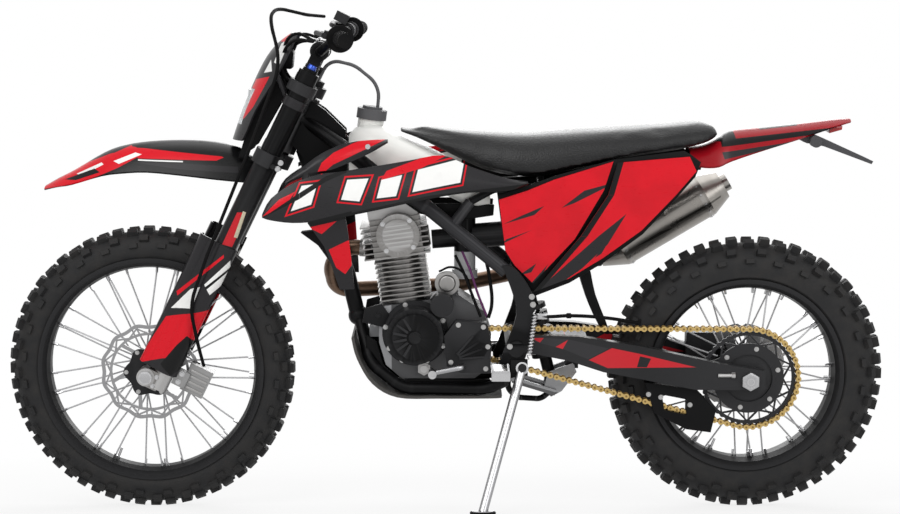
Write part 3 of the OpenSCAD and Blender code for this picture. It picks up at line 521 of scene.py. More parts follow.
FINISHES = Finishes()
HEAD = patch(BLACK, (-600, 600), (-130, 1200))
CASE_RIM = patch(tint(150, 151, 153), (-260, 330), (-176, 560))
CARB_BODY = patch(tint(176, 177, 178), (-30, 560), (36, 640))
LINK_BAR = Stripe(BLACK, ((80, 250), (232, 250), (232, 292), (130, 322), (80, 322)))
ARM_MARKS = (Stripe(CHARCOAL, ((160, 445), (248, 441), (235, 418), (160, 437))),
             Stripe(CHARCOAL, ((248, 441), (348, 418), (298, 392), (235, 418))),
             Stripe(RED, ((300, 390), (355, 419), (422, 405), (558, 372), (346, 370))),
             Stripe(RED, ((220, 422), (249, 439), (237, 417))),
             Stripe(RED, ((160, 444), (191, 444), (182, 433))),
             Stripe(BLACK, ((423, 399), (450, 393), (440, 372), (416, 372))))
LEG_MARKS = (Stripe(RED, ((-574, 674), (-537, 750), (-516, 750), (-531, 708), (-551, 667))),
             Stripe(tint(214, 206, 178), ((-523, 753), (-516, 750), (-538, 688), (-546, 691))))
CAN_MARKS = tuple(Stripe(tint(88, 86, 82), p) for p in (
    ((420, 626), (442, 654), (489, 669), (528, 694), (519, 676), (464, 646)),
    ((528, 694), (641, 759), (641, 754), (531, 689))))
FRAME_PAINT = Metal("frame_paint", grey(10), 0.45, 0.0, 0.0, grey(70, 2), 0.2)
GREY_PAINT = Metal("grey_paint", grey(40, 2), 0.4, 0.2, 0.0, grey(150, 2), 0.2, (HEAD,))
SKID_PAINT = Metal("skid_alloy", tint(58, 56, 54), 0.5, 0.2, 0.3, tint(120, 118, 116), 0.2)
BLACK_ALLOY = Metal("black_alloy", grey(13), 0.42, 0.1, 0.5, grey(90, 2), 0.25)
FRONT_HUB, REAR_HUB = (
    Metal(name, grey(12), 0.42, 0.2, 0.4, grey(110, 2), 0.2, hub=(middle.x, middle.z, r))
    for name, middle, r in (("front_hub_alloy", FRONT_AXLE, 45.0), ("rear_hub_alloy", REAR_AXLE, 85.0)))
LEG_ALLOY = Metal("leg_alloy", grey(13), 0.32, 0.1, 0.0, grey(90, 2), 0.2, LEG_MARKS)
CASE_ALLOY = Metal("case_alloy", grey(18), 0.45, 0.2, 0.6, grey(150, 2), 0.3, (CASE_RIM,))
ARM_ALLOY = Metal("arm_alloy", grey(11), 0.4, 0.0, 0.0, grey(90, 2), 0.25, ARM_MARKS)
CARB_ALLOY = Metal("carb_alloy", grey(13), 0.45, 0.1, 0.4, grey(120, 2), 0.2, (CARB_BODY,))
LINK_ALLOY = Metal("link_alloy", tint(148, 149, 151), 0.4, 0.4, 0.5, grey(200, 2), 0.2, (LINK_BAR,))
CAST_ALLOY = Metal("cast_alloy", tint(138, 136, 134), 0.36, 0.9, 0.8, grey(214, 0), 0.45)
CALIPER_ALLOY = Metal("caliper_alloy", tint(84, 83, 82), 0.42, 0.8, 0.8, grey(190, 0), 0.5)
BRIGHT = Metal("bright_steel", grey(166, 2), 0.28, 1.0, 0.0, grey(240, 0), 0.3, brush=(1, 1, 6))
DISC_STEEL = Metal("disc_steel", grey(136, 2), 0.36, 0.9, 0.0, grey(200, 0), 0.2, brush=(3, 3, 3))
BRUSHED = Metal("brushed_steel", tint(146, 142, 137), 0.3, 1.0, 0.0, grey(230, 0), 0.2, CAN_MARKS,
                brush=(0.1, 3, 3))
PIPE = Metal("heated_pipe", tint(104, 84, 70), 0.38, 0.95, 0.0, tint(180, 160, 140), 0.2)
GOLD = Metal("gold_chain", tint(178, 150, 92), 0.3, 1.0, 0.0, tint(235, 205, 140), 0.3)
# The chain's gold darkened as painted shade, for the recessed inner plates, pins and rollers.
SHADED_GOLD = Metal("shaded_gold", tint(118, 96, 56), 0.34, 1.0, 0.0, tint(170, 140, 90), 0.3)
BLUE = Metal("blue_alloy", tint(40, 70, 170), 0.3, 0.9, 0.0, tint(140, 160, 220), 0.2)
BLACK_PLASTIC = Plastic("black_plastic", grey(10), 0.48)
HOLDER_PLASTIC = Plastic("holder_plastic", grey(74, 2), 0.5)
CAP_PLASTIC = Plastic("cap_plastic", grey(92, 2), 0.5)
TANK_PLASTIC = Plastic("tank_plastic", tint(232, 232, 228), 0.42, 0.35)
TYRE_RUBBER = Rubber("tyre_rubber", grey(24), 0.5, 0.3)
GRIP_RUBBER = Rubber("grip_rubber", grey(12), 0.2)
HOSE_RUBBER = Rubber("hose_rubber", grey(10), 0.15)
WIRE_RUBBER = Rubber("wire_purple", tint(96, 52, 92), 0.1)
CLEAR = Lens("clear_lens", tint(235, 238, 240), 0.55)
RED_LENS = Lens("red_lens", tint(180, 12, 16), 0.3)


def placed(name: str, data: bpy.types.ID) -> bpy.types.Object:
    """Links a new object to the scene.

    Args:
        name: the object's name.
        data: its mesh, curve, light or camera.

    Returns:
        The object.
    """
    obj = bpy.data.objects.new(name, data)
    bpy.context.scene.collection.objects.link(obj)
    return obj


def baked(bm: bmesh.types.BMesh, name: str) -> bpy.types.Mesh:
    """Turns a bmesh into a mesh and frees it.

    Args:
        bm: the bmesh.
        name: the mesh's name.

    Returns:
        The mesh.
    """
    mesh = bpy.data.meshes.new(name)
    bm.to_mesh(mesh)
    bm.free()
    return mesh


def copy_of(node: str) -> bmesh.types.BMesh:
    """A merged copy of a CAD node's mesh.

    Args:
        node: the node's name.

    Returns:
        The copy, in packed metres.
    """
    bm = bmesh.new()
    bm.from_mesh(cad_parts[node].data)
    bmesh.ops.remove_doubles(bm, verts=bm.verts, dist=WELD)
    return bm


@dataclass(frozen=True)
class Bend:
    """Far body of a piece that spans a joint, and where the bend starts and ends."""
    body: Body
    start: Vector
    end: Vector


class Form:
    """A mesh under construction, in millimetres of one frame."""
    weld = 0.002
    washer = 1.35

    def __init__(self, place: Matrix = UPRIGHT) -> None:
        """Starts an empty mesh in a frame."""
        self.bm = bmesh.new()
        self.place = place

    def soften(self, edges: Iterable[bmesh.types.BMEdge], r: float) -> None:
        """Rounds edges where the radius is above zero.

        Args:
            edges: the edges.
            r: their radius.
        """
        if r:
            bmesh.ops.bevel(self.bm, geom=list(edges), offset=r, affect="EDGES", segments=2, profile=0.5,
                            material=-1)

    def block(self, size: Point, at: Point, turn: Matrix = UPRIGHT, bevel: float = 0.0,
              top: float = 1.0) -> list[bmesh.types.BMVert]:
        """Adds a block.

        Args:
            size: lengths along its axes.
            at: its middle.
            turn: its rotation.
            bevel: edge radius.
            top: scale of the +Z face.

        Returns:
            The new vertices, for a block with sharp edges.
        """
        where = Matrix.Translation(Vector(at)) @ turn @ Matrix.Diagonal((*size, 1.0))
        made = bmesh.ops.create_cube(self.bm, size=1.0)["verts"]
        for v in made:
            if v.co.z > 0:
                v.co.x *= top
                v.co.y *= top
        bmesh.ops.transform(self.bm, matrix=where, verts=made)
        self.soften({e for v in made for e in v.link_edges}, bevel)
        return made

    def rod(self, a: Point, b: Point, r: float, sides: int = 20, bevel: float = 0.0,
            far: float | None = None) -> None:
        """Adds a round bar or cone from a to b.

        Args:
            a: first end.
            b: second end.
            r: radius at a.
            sides: faces round it.
            bevel: radius of the end edges.
            far: radius at b, where it differs.
        """
        a, b = Vector(a), Vector(b)
        aim = Matrix.Translation((a + b) / 2) @ (b - a).to_track_quat("Z", "Y").to_matrix().to_4x4()
        far = r if far is None else far
        made = bmesh.ops.create_cone(self.bm, cap_ends=True, segments=sides, radius1=r, radius2=far,
                                     depth=(b - a).length, matrix=aim)["verts"]
        caps = [f for f in {f for v in made for f in v.link_faces} if len(f.verts) > 4]
        self.soften({e for f in caps for e in f.edges}, bevel)

    def bolts(self, places: Iterable[Point], axis: Point, r: float, h: float) -> None:
        """Adds hexagon bolt heads on washers.

        Args:
            places: where each head sits.
            axis: direction of the heads.
            r: radius of a head.
            h: height of a head.
        """
        axis = Vector(axis).normalized()
        for at in map(Vector, places):
            self.rod(at - axis * 2, at + axis * 1.2, r * self.washer, 18)
            self.rod(at, at + axis * h, r, 6, far=r * 0.92)
            self.rod(at, at + axis * (h + 0.8), r * 0.5, 10)

    def lathe(self, profile: Sequence[Point], steps: int) -> None:
        """Spins a closed profile of (radius, height) pairs round Z.

        Args:
            profile: corners of the section.
            steps: faces round it.
        """
        verts = [self.bm.verts.new((-r, 0, h)) for r, h in profile]
        edges = [self.bm.edges.new(p) for p in zip(verts, verts[1:] + verts[:1])]
        bmesh.ops.spin(self.bm, geom=[*verts, *edges], cent=(0, 0, 0), axis=UP, angle=math.tau, steps=steps,
                       use_merge=True)

    def prism(self, points: Sequence[Point], y0: float, y1: float, bevel: float = 0.0) -> None:
        """Adds a plate with an outline in X and Z, between two Y planes.

        Args:
            points: the outline.
            y0: first plane.
            y1: second plane.
            bevel: edge radius.
        """
        verts = [self.bm.verts.new((x, y0, z)) for x, z in points]
        made = bmesh.ops.extrude_face_region(self.bm, geom=[self.bm.faces.new(verts)])["geom"]
        moved = [g for g in made if isinstance(g, bmesh.types.BMVert)]
        bmesh.ops.translate(self.bm, vec=(0, y1 - y0, 0), verts=moved)
        self.soften({e for v in [*verts, *moved] for e in v.link_edges}, bevel)

    def tube(self, path: Sequence[Point], r: float) -> None:
        """Adds a tube along a smooth path.

        Args:
            path: points that it passes through.
            r: its radius.
        """
        curve = bpy.data.curves.new("path", "CURVE")
        curve.dimensions = "3D"
        curve.bevel_depth = r
        curve.bevel_resolution = 1
        curve.use_fill_caps = True
        spline = curve.splines.new("BEZIER")
        spline.bezier_points.add(len(path) - 1)
        spline.resolution_u = 6
        for knot, p in zip(spline.bezier_points, path):
            knot.co = Vector(p)
            knot.handle_left_type = knot.handle_right_type = "AUTO"
        holder = placed("path", curve)
        graph = bpy.context.evaluated_depsgraph_get()
        mesh = bpy.data.meshes.new_from_object(holder.evaluated_get(graph))
        self.bm.from_mesh(mesh)
        bpy.data.objects.remove(holder)
        bpy.data.curves.remove(curve)
        bpy.data.meshes.remove(mesh)

    def mirrored(self) -> "Form":
        """Adds the other side's copy across the machine's middle.

        Returns:
            This form.
        """
        whole = [*self.bm.verts, *self.bm.edges, *self.bm.faces]
        copy = bmesh.ops.duplicate(self.bm, geom=whole)["geom"]
        verts = [g for g in copy if isinstance(g, bmesh.types.BMVert)]
        faces = [g for g in copy if isinstance(g, bmesh.types.BMFace)]
        bmesh.ops.transform(self.bm, matrix=MIRROR, verts=verts)
        bmesh.ops.reverse_faces(self.bm, faces=faces)
        return self

    def piece(self, name: str, finish: Finish, slot: str, body: Body = Body.CHASSIS, sharp: float = 35.0,
              replaces: Iterable[str] = (), bend: Bend | None = None) -> None:
        """Turns the mesh into a piece of the machine.

        Args:
            name: the piece's name.
            finish: its finish.
            slot: not used.
            body: the body that it rides on.
            sharp: edges above this angle stay sharp.
            replaces: CAD nodes that it stands for.
            bend: given where it spans a joint; the piece is then baked in place and put on no body.
        """
        bmesh.ops.remove_doubles(self.bm, verts=self.bm.verts, dist=self.weld)
        bmesh.ops.recalc_face_normals(self.bm, faces=self.bm.faces)
        bmesh.ops.transform(self.bm, matrix=STANCE.matrix @ self.place, verts=self.bm.verts)
        dress(self.bm, name, finish, body, sharp, replaces, bend)


def dress(bm: bmesh.types.BMesh, name: str, finish: Finish, body: Body, sharp: float,
          replaces: Iterable[str], bend: Bend | None = None) -> None:
    """Makes an object of a mesh in packed metres, with its finish, on its body where no bend is given.

    Args:
        bm: the mesh.
        name: the piece's name.
        finish: its finish.
        body: the body that it rides on.
        sharp: edges above this angle stay sharp.
        replaces: CAD nodes that it stands for.
        bend: where given, the piece is baked in place and put on no body.
    """
    for face in bm.faces:
        face.smooth = True
    for edge in bm.edges:
        edge.smooth = len(edge.link_faces) != 2 or edge.calc_face_angle(0.0) < math.radians(sharp)
    mesh = baked(bm, name)
    obj = placed(name, mesh)
    mesh.materials.append(FINISHES.get(finish))
    if bend is None:
        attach(obj, body.value)
    else:
        ends = (tuple(STANCE.matrix @ end) for end in (bend.start, bend.end))
        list(ends)
        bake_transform(obj)
    if replaces:
        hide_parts(*replaces)
    LOG.info("piece %s: %d faces on %s", name, len(mesh.polygons), body.value)


def skin(node: str, name: str, finish: Finish, body: Body, sharp: float) -> None:
    """A smooth copy of a CAD node that stands for it.

    Args:
        node: the node to copy.
        name: the new piece's name.
        finish: its finish.
        body: the body that it rides on.
        sharp: edges above this angle stay sharp.
    """
    dress(copy_of(node), name, finish, body, sharp, (node,))


def coat(finish: Finish, *nodes: str) -> None:
    """Gives CAD nodes a finish.

    Args:
        finish: the finish.
        nodes: the nodes' names.
    """
    for node in nodes:
        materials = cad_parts[node].data.materials
        materials.clear()
        materials.append(FINISHES.get(finish))
        LOG.info("node %s: %s", node, finish.name)


@dataclass
class Wheel:
    """A wire wheel with a knobbly tyre, built round its axle with the left side at +Z.

    A row of lugs is its share of a step round the wheel, its degrees round the section, and a lug's length,
    width and depth below the tread. A stem is the valve or the rim lock: its degrees, radius and length.
    """
    label: str
    body: Body
    spin: Matrix
    size: tuple[float, float]
    bead: float
    bead_half: float
    groups: int
    lug: float
    spokes: int = 36
    cross: float = 24.0
    nipple: tuple[float, float] = (3.3, 3.6)
    nipple_long: float = 13.0
    nipple_track: float = 7.5
    tread_steps: int = 120
    lug_taper: float = 0.88
    rows: tuple[tuple[float, ...], ...] = (
        (0.0, 12, 26, 17, 5), (0.5, 27, 27, 18, 5), (0.12, 54, 24, 16, 4), (0.5, 76, 22, 12, 0.5))
    stems: tuple[tuple[float, ...], ...] = ((-112, 3.2, 30), (-84, 4.6, 16))

    def build(self) -> None:
        """Makes the tyre and the small parts of the rim."""
        self.tyre()
        self.nipples()

    @property
    def section(self) -> float:
        """Half width of the carcass under the lugs."""
        return self.size[1] - 4.0

    @property
    def middle(self) -> float:
        """Radius of the middle of the carcass's round section."""
        return self.size[0] - self.lug - self.section

    def tyre(self) -> None:
        """Makes the carcass with its rows of lugs."""
        form = Form(self.spin)
        h, b, w, mid = self.section, self.bead, self.bead_half, self.middle
        arc = [(mid + x, z) for x, z in ring(h, range(-84, 85, 12))]
        wall = [(b + 1, -w + 1), (b + 8, -w - 0.5), (b + 14, -h + 1.5), (mid - 6, -h - 0.6)]
        form.lathe([*wall, *arc, *[(x, -z) for x, z in reversed(wall)]], self.tread_steps)
        step = 360 / self.groups
        for i in range(self.groups):
            for side in SIDES:
                for share, lean, long, wide, root in self.rows:
                    self.lug_at(form, i * step + step * share, side * lean, (wide, long, self.lug + root))
        form.piece(f"{self.label}_knobbly_tyre", TYRE_RUBBER, "tyre", self.body, 30, (f"{self.label}_tyre",))

    def lug_at(self, form: Form, turn: float, lean: float, size: Point) -> None:
        """Adds one lug.

        Args:
            form: the tyre.
            turn: place round the wheel in degrees.
            lean: place round the section in degrees.
            size: width, length and height.
        """
        around = Matrix.Rotation(math.radians(turn), 4, "Z")
        across = Matrix.Translation((self.middle, 0, 0)) @ Matrix.Rotation(-math.radians(lean), 4, "Y")
        root = Matrix.Translation((self.section - 5 + size[2] / 2, 0, 0))
        made = form.block(size, (0, 0, 0), top=self.lug_taper)
        bmesh.ops.transform(form.bm, matrix=around @ across @ root @ Matrix.Rotation(math.pi / 2, 4, "Y"),
                            verts=made)

    def nipples(self) -> None:
        """Makes the spoke nipples, the valve and the rim lock."""
        form = Form(self.spin)
        inner, half = self.bead - 18, self.spokes // 2
        for i in range(half):
            for side in SIDES:
                a = 360 * (i + (0.5 if side > 0 else 0.0)) / half
                a += self.cross if i % 2 == 0 else -self.cross
                z = side * self.nipple_track
                self.stem(form, a, (inner - self.nipple_long, z * 1.3), (inner + 1, z), self.nipple[0], 6,
                          self.nipple[1])
        for a, r, long in self.stems:
            self.stem(form, a, (inner - long, 0), (inner + 1, 0), r, 12)
            self.stem(form, a, (inner - 6, 0), (inner + 1, 0), r + 3, 6)
        form.piece(f"{self.label}_nipples", BRIGHT, "steel", self.body)

    @staticmethod
    def stem(form: Form, turn: float, low: Point, high: Point, r: float, sides: int,
             far: float | None = None) -> None:
        """Adds a bar along a spoke's line, between two places of radius and height."""
        a, b = ((*ring(radius, (turn,))[0], z) for radius, z in (low, high))
        form.rod(a, b, r, sides, far=far)


@dataclass
class OpenDisc:
    """Flat open disc: waved or toothed rim, inner ring, zigzag bars between them, arms to the middle."""
    name: str
    body: Body
    place: Matrix
    node: str
    finish: Metal
    slot: str
    face: float
    thick: float
    waves: int
    wave: float
    rim: tuple[float, float]
    inner: tuple[float, float]
    bars: int
    arms: int = 0
    wave_inside: bool = True
    bar_width: float = 4.0
    arm_width: float = 9.0
    arm_root: float = 50.0
    arm_sweep: float = 0.26
    lap: tuple[float, float] = (2.0, 1.5)

    def build(self) -> None:
        """Makes the disc."""
        form = Form(self.place)
        self.ring(form, self.rim, (self.wave if self.wave_inside else 0.0, self.wave))
        self.ring(form, self.inner, (0.0, 0.0))
        root, tip = self.inner[1] - self.lap[0], self.rim[0] + self.lap[1]
        for i in range(self.bars):
            a = math.tau * i / self.bars
            for side in SIDES:
                self.bar(form, (root, a), (tip, a + side * math.pi / self.bars), self.bar_width)
        for i in range(self.arms):
            a = math.tau * i / self.arms
            tip = self.inner[0] + self.lap[0]
            self.bar(form, (self.arm_root, a), (tip, a + self.arm_sweep), self.arm_width)
        form.piece(self.name, self.finish, self.slot, self.body, replaces=(self.node,))

    def ring(self, form: Form, radii: tuple[float, float], heights: tuple[float, float]) -> None:
        """Adds a flat ring.

        Args:
            form: the disc.
            radii: inner and outer radius.
            heights: height of the waves on each.
        """
        edges: set = set()
        for r, wave in zip(radii, heights):
            made = bmesh.ops.create_circle(form.bm, cap_ends=False, radius=r,
                                           segments=max(144, self.waves * 6))["verts"]
            for v in made:
                v.co *= 1 - wave * math.cos(self.waves * math.atan2(v.co.y, v.co.x)) / r
            bmesh.ops.translate(form.bm, vec=(0, 0, self.face), verts=made)
            edges |= {e for v in made for e in v.link_edges}
        flat = bmesh.ops.bridge_loops(form.bm, edges=list(edges))["faces"]
        grown = bmesh.ops.extrude_face_region(form.bm, geom=flat, use_keep_orig=True)["geom"]
        bmesh.ops.translate(form.bm, vec=(0, 0, self.thick),
                            verts=[g for g in grown if isinstance(g, bmesh.types.BMVert)])

    def bar(self, form: Form, a: Point, b: Point, width: float) -> None:
        """Adds a flat bar between two places, each a radius and a turn.

        Args:
            form: the disc.
            a: first place.
            b: second place.
            width: its width.
        """
        p, q = (Vector((r * math.cos(t), r * math.sin(t))) for r, t in (a, b))
        run, mid = q - p, (p + q) / 2
        form.block((run.length, width, self.thick - 0.2), (mid.x, mid.y, self.face + self.thick / 2),
                   Matrix.Rotation(math.atan2(run.y, run.x), 4, "Z"))


@dataclass
class Carrier:
    """Dark lobed plate that carries the front disc."""
    lobes: int = 6
    mean: float = 58.0
    lobe: float = 5.0
    steps: int = 90
    faces: tuple[float, float] = (-65.6, -62.1)

    def build(self) -> None:
        """Makes the plate."""
        form = Form(Matrix.Translation(FRONT_AXLE))
        turns = [math.tau * k / self.steps for k in range(self.steps)]
        radii = [self.mean + self.lobe * math.cos(self.lobes * a) for a in turns]
        form.prism([(r * math.cos(a), r * math.sin(a)) for r, a in zip(radii, turns)], *self.faces)
        form.piece("disc_carrier", BLACK_ALLOY, "black_alloy", Body.FRONT_WHEEL)


@dataclass
class Chain:
    """Roller chain over both sprockets. A plate is its end radius and its two faces from the chain's line."""
    line: float = -73.0
    pitch: float = 15.875
    drive: tuple[float, float] = (34.0, 428.0)
    teeth: tuple[int, int] = (13, 48)
    inner_plate: tuple[float, float, float] = (6.2, 4.6, 6.4)
    outer_plate: tuple[float, float, float] = (6.9, 7.0, 8.9)
    pin: tuple[float, float] = (2.6, 10.2)
    roller: tuple[float, float] = (5.0, 4.4)
    fine: int = 240

    def path(self) -> list[Vector]:
        """Pin places round the loop, one pitch apart.

        Returns:
            The pins in X and Z.
        """
        d, e = Vector(self.drive), Vector((REAR_AXLE.x, REAR_AXLE.z))
        front, rear = (self.pitch / (2 * math.sin(math.pi / n)) for n in self.teeth)
        base = math.atan2(e.y - d.y, e.x - d.x)
        off = math.acos((front - rear) / (e - d).length)
        up, down = base + off, base - off
        points: list[Vector] = []
        for c, r, a0, a1 in ((e, rear, up, down), (d, front, down, up - math.tau)):
            for k in range(self.fine + 1):
                a = a0 + (a1 - a0) * k / self.fine
                points.append(c + Vector((math.cos(a), math.sin(a))) * r)
        points.append(points[0])
        length = sum((q - p).length for p, q in zip(points, points[1:]))
        count = round(length / self.pitch / 2) * 2
        pins, walked, want = [], 0.0, 0.0
        for p, q in zip(points, points[1:]):
            gap = (q - p).length
            while gap > 0 and want <= walked + gap and len(pins) < count:
                pins.append(p + (q - p) * ((want - walked) / gap))
                want += length / count
            walked += gap
        return pins

    def build(self) -> None:
        """Makes every link with its rollers."""
        outer, inner = Form(), Form()
        pins = self.path()
        for i, (p, q) in enumerate(zip(pins, pins[1:] + pins[:1])):
            form, (reach, low, top) = (outer, self.outer_plate) if i % 2 else (inner, self.inner_plate)
            run, mid = q - p, (p + q) / 2
            way = run.normalized()
            turn = Matrix.Rotation(-math.atan2(way.y, way.x), 4, "Y")
            for s in SIDES:
                y0, y1 = self.line + s * low, self.line + s * top
                size = (run.length, abs(y1 - y0) - 0.2, reach * 1.05)
                form.block(size, (mid.x, (y0 + y1) / 2, mid.y), turn)
                for end in (p, q):
                    form.rod((end.x, y0, end.y), (end.x, y1, end.y), reach, 12)
            for (r, half), sides in ((self.pin, 8), (self.roller, 10)):
                inner.rod((p.x, self.line - half, p.y), (p.x, self.line + half, p.y), r, sides)
        outer.piece("chain_links", GOLD, "chain_gold", sharp=40, replaces=("chain",))
        # Inner plates, pins and rollers take the darker gold as painted shade of the recess.
        inner.piece("chain_rollers", SHADED_GOLD, "chain_gold", sharp=40)


@dataclass
class Seat:
    """Long flat seat with a stretched cover, its sizes in metres."""
    voxel: float = 0.006
    cap: float = 0.006
    shrink: float = 0.004
    pressure: float = 4.0
    frames: int = 20
    rounds: int = 3

    def build(self) -> None:
        """Makes the padded cover from the seat's solid."""
        bm = copy_of("seat")
        bm.normal_update()
        for v in bm.verts:
            v.co -= v.normal * self.shrink
        obj = placed("seat_cover", baked(bm, "seat_cover"))
        remesh = obj.modifiers.new("even", "REMESH")
        remesh.mode = "VOXEL"
        remesh.voxel_size = self.voxel
        self.apply(obj)
        self.inflate(obj)
        bm = bmesh.new()
        bm.from_mesh(obj.data)
        for _ in range(self.rounds):
            bmesh.ops.smooth_vert(bm, verts=bm.verts, factor=0.5, use_axis_x=True, use_axis_y=True,
                                  use_axis_z=True)
        for face in bm.faces:
            face.smooth = True
        bm.to_mesh(obj.data)
        bm.free()
        soft = obj.modifiers.new("soft", "SUBSURF")
        soft.levels = soft.render_levels = 1
        obj.data.materials.clear()
        obj.data.materials.append(FINISHES.get(Cover()))
        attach(obj, Body.CHASSIS.value)
        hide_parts("seat")
        LOG.info("piece seat_cover: %d faces", len(obj.data.polygons))

    @staticmethod
    def apply(obj: bpy.types.Object) -> None:
        """Applies every modifier to the mesh.

        Args:
            obj: the piece.
        """
        graph = bpy.context.evaluated_depsgraph_get()
        mesh = bpy.data.meshes.new_from_object(obj.evaluated_get(graph))
        obj.modifiers.clear()
        obj.data = mesh

    def inflate(self, obj: bpy.types.Object) -> None:
        """Swells the pad under its cover by cloth simulation, within a cap.

        Args:
            obj: the pad.
        """
        rest = [v.co.copy() for v in obj.data.vertices]
        settings = obj.modifiers.new("cover", "CLOTH").settings
        settings.use_pressure = True
        settings.uniform_pressure_force = self.pressure
        settings.quality = 4
        settings.effector_weights.gravity = 0.0
        scene = bpy.context.scene
        for number in range(1, self.frames + 1):
            scene.frame_set(number)
        self.apply(obj)
        scene.frame_set(1)
        for v, start in zip(obj.data.vertices, rest):
            move = v.co - start
            if move.length > self.cap:
                v.co = start + move.normalized() * self.cap


@dataclass
class Panels:
    """Printed plastic panels."""

    def build(self) -> None:
        """Dresses the shrouds, side panels, fenders, mask and guards."""
        skin("shrouds", "shroud_panels", self.shroud_print(), Body.CHASSIS, 32)
        skin("rear_fender", "tail_fender", self.tail_print(), Body.CHASSIS, 50)
        skin("front_fender", "nose_fender", self.nose_print(), Body.STEERING, 50)
        skin("headlight_mask", "lamp_mask", self.mask_print(), Body.STEERING, 40)
        skin("fuel_tank", "tank_shell", TANK_PLASTIC, Body.CHASSIS, 30)
        coat(self.side_print(), "side_panels")
        coat(self.guard_print(), "fork_guards")
        self.fasteners()

    @staticmethod
    def shroud_print() -> Print:
        """Dark shroud with slanted pale bars in red outlines, red flashes, a black band and a black line that
        is a painted shadow in a groove.

        Returns:
            The print.
        """
        red = (((-343, 850), (-332, 874), (-305, 896), (-306, 869), (-332, 847)),
               ((-305, 896), (-261, 916), (-261, 889), (-306, 869)),
               ((-261, 916), (-225, 927), (-217, 909), (-261, 889)),
               ((-225, 927), (-189, 931), (-179, 925), (-217, 909)),
               ((-470, 751), (-430, 791), (-393, 809), (-412, 781)),
               ((-196, 831), (-182, 852), (-57, 894), (-39, 885), (-102, 856)),
               ((-375, 728), (-293, 742), (-334, 706)),
               ((-319, 667), (-269, 691), (-260, 636), (-282, 605), (-303, 622)))
        # The first three black shapes are a painted shadow in the groove at the wing's edge.
        black = (((-472, 747), (-383, 806), (-383, 792)),
                 ((-383, 806), (-322, 843), (-322, 831), (-383, 792)),
                 ((-322, 843), (-275, 859), (-275, 850), (-322, 831)),
                 ((-473, 745), (-385, 734), (-380, 719)),
                 ((-385, 734), (-263, 762), (-263, 745), (-380, 719)),
                 ((-264, 758), (-81, 793), (-81, 775), (-265, 741)),
                 ((-81, 793), (83, 810), (83, 792), (-81, 775)),
                 ((83, 810), (154, 819), (154, 801), (83, 792)))
        pale = (((-403, 764), (-378, 822), (-342, 826), (-356, 779)),
                ((-287, 789), (-273, 834), (-224, 836), (-245, 784)),
                ((-205, 790), (-194, 832), (-146, 842), (-160, 794)),
                ((-122, 802), (-109, 853), (1, 878), (-10, 822)))
        marks = (*(Stripe(RED, p) for p in red), *(Stripe(WHITE, p, RED) for p in pale),
                 *(Stripe(BLACK, p) for p in black))
        return Print("shroud_print", CHARCOAL, marks, 0.3)

    @staticmethod
    def side_print() -> Print:
        """Red side panels with dark slashes.

        Returns:
            The print.
        """
        dark = [((216, 748), (284, 800), (350, 818), (336, 798), (260, 770)),
                ((92, 720), (130, 738), (190, 764), (166, 742)),
                ((88, 672), (160, 706), (100, 684)),
                ((130, 596), (172, 626), (160, 604)),
                ((150, 566), (200, 624), (184, 594), (164, 560)),
                ((164, 552), (320, 694), (384, 746), (340, 672), (280, 614), (236, 582)),
                ((310, 640), (360, 712), (326, 650))]
        band = (((362, 868), (376, 868), (354, 790), (340, 790)),
                ((340, 790), (354, 790), (292, 692), (276, 692)),
                ((276, 692), (292, 692), (182, 562), (160, 552)))
        pale = ((166, 570), (190, 596), (174, 578))
        marks = (*(Stripe(CHARCOAL, p) for p in dark), Stripe(WHITE, pale), *(Stripe(BLACK, p) for p in band))
        return Print("side_print", RED, marks, 0.4)

    @staticmethod
    def tail_print() -> Print:
        """Tail in red darkened as painted shade, with a dark flash along its lower edge.

        Returns:
            The print.
        """
        # The base is the red darkened as painted shade.
        return Print("tail_print", SHADED_RED, (
            Stripe(BLACK, ((510, 985), (630, 985), (649, 914), (510, 897))),
            Stripe(BLACK, ((613, 914), (888, 944), (898, 936), (614, 898))),
            Stripe(CHARCOAL, ((614, 886), (827, 918), (775, 906), (619, 870))),
            Stripe(CHARCOAL, ((703, 945), (798, 955), (798, 947), (708, 937)))), 0.35)

    @staticmethod
    def nose_print() -> Print:
        """Dark fender with a red tip, a red stripe, pale flashes, a charcoal ridge lighter as painted
        highlight and a black valley that is painted shade.

        Returns:
            The print.
        """
        return Print("nose_print", tint(16, 16, 17), (
            Stripe(RED, ((-1030, 790), (-905, 858), (-799, 899), (-775, 876), (-824, 850), (-915, 812))),
            Stripe(RED, ((-799, 897), (-770, 894), (-592, 879), (-575, 872), (-592, 865), (-778, 871))),
            # The two charcoal shapes along the top are painted highlight on the ridge.
            Stripe(CHARCOAL, ((-838, 882), (-867, 877), (-794, 913), (-795, 901))),
            Stripe(CHARCOAL, ((-795, 901), (-794, 913), (-692, 930), (-518, 930), (-519, 905))),
            # Painted shade in the valley under the ridge.
            Stripe(BLACK, ((-799, 899), (-588, 908), (-519, 903), (-519, 889), (-588, 889), (-783, 894))),
            Stripe(CHARCOAL, ((-787, 862), (-676, 860), (-540, 850), (-540, 836), (-676, 846))),
            Stripe(WHITE, ((-930, 832), (-868, 860), (-862, 856), (-916, 828))),
            Stripe(WHITE, ((-838, 864), (-786, 884), (-770, 880), (-824, 858))),
            Stripe(WHITE, ((-778, 869), (-671, 865), (-671, 862), (-778, 866))),
            Stripe(BLACK, ((-960, 818), (-884, 846), (-870, 838), (-930, 818)))), 0.3)

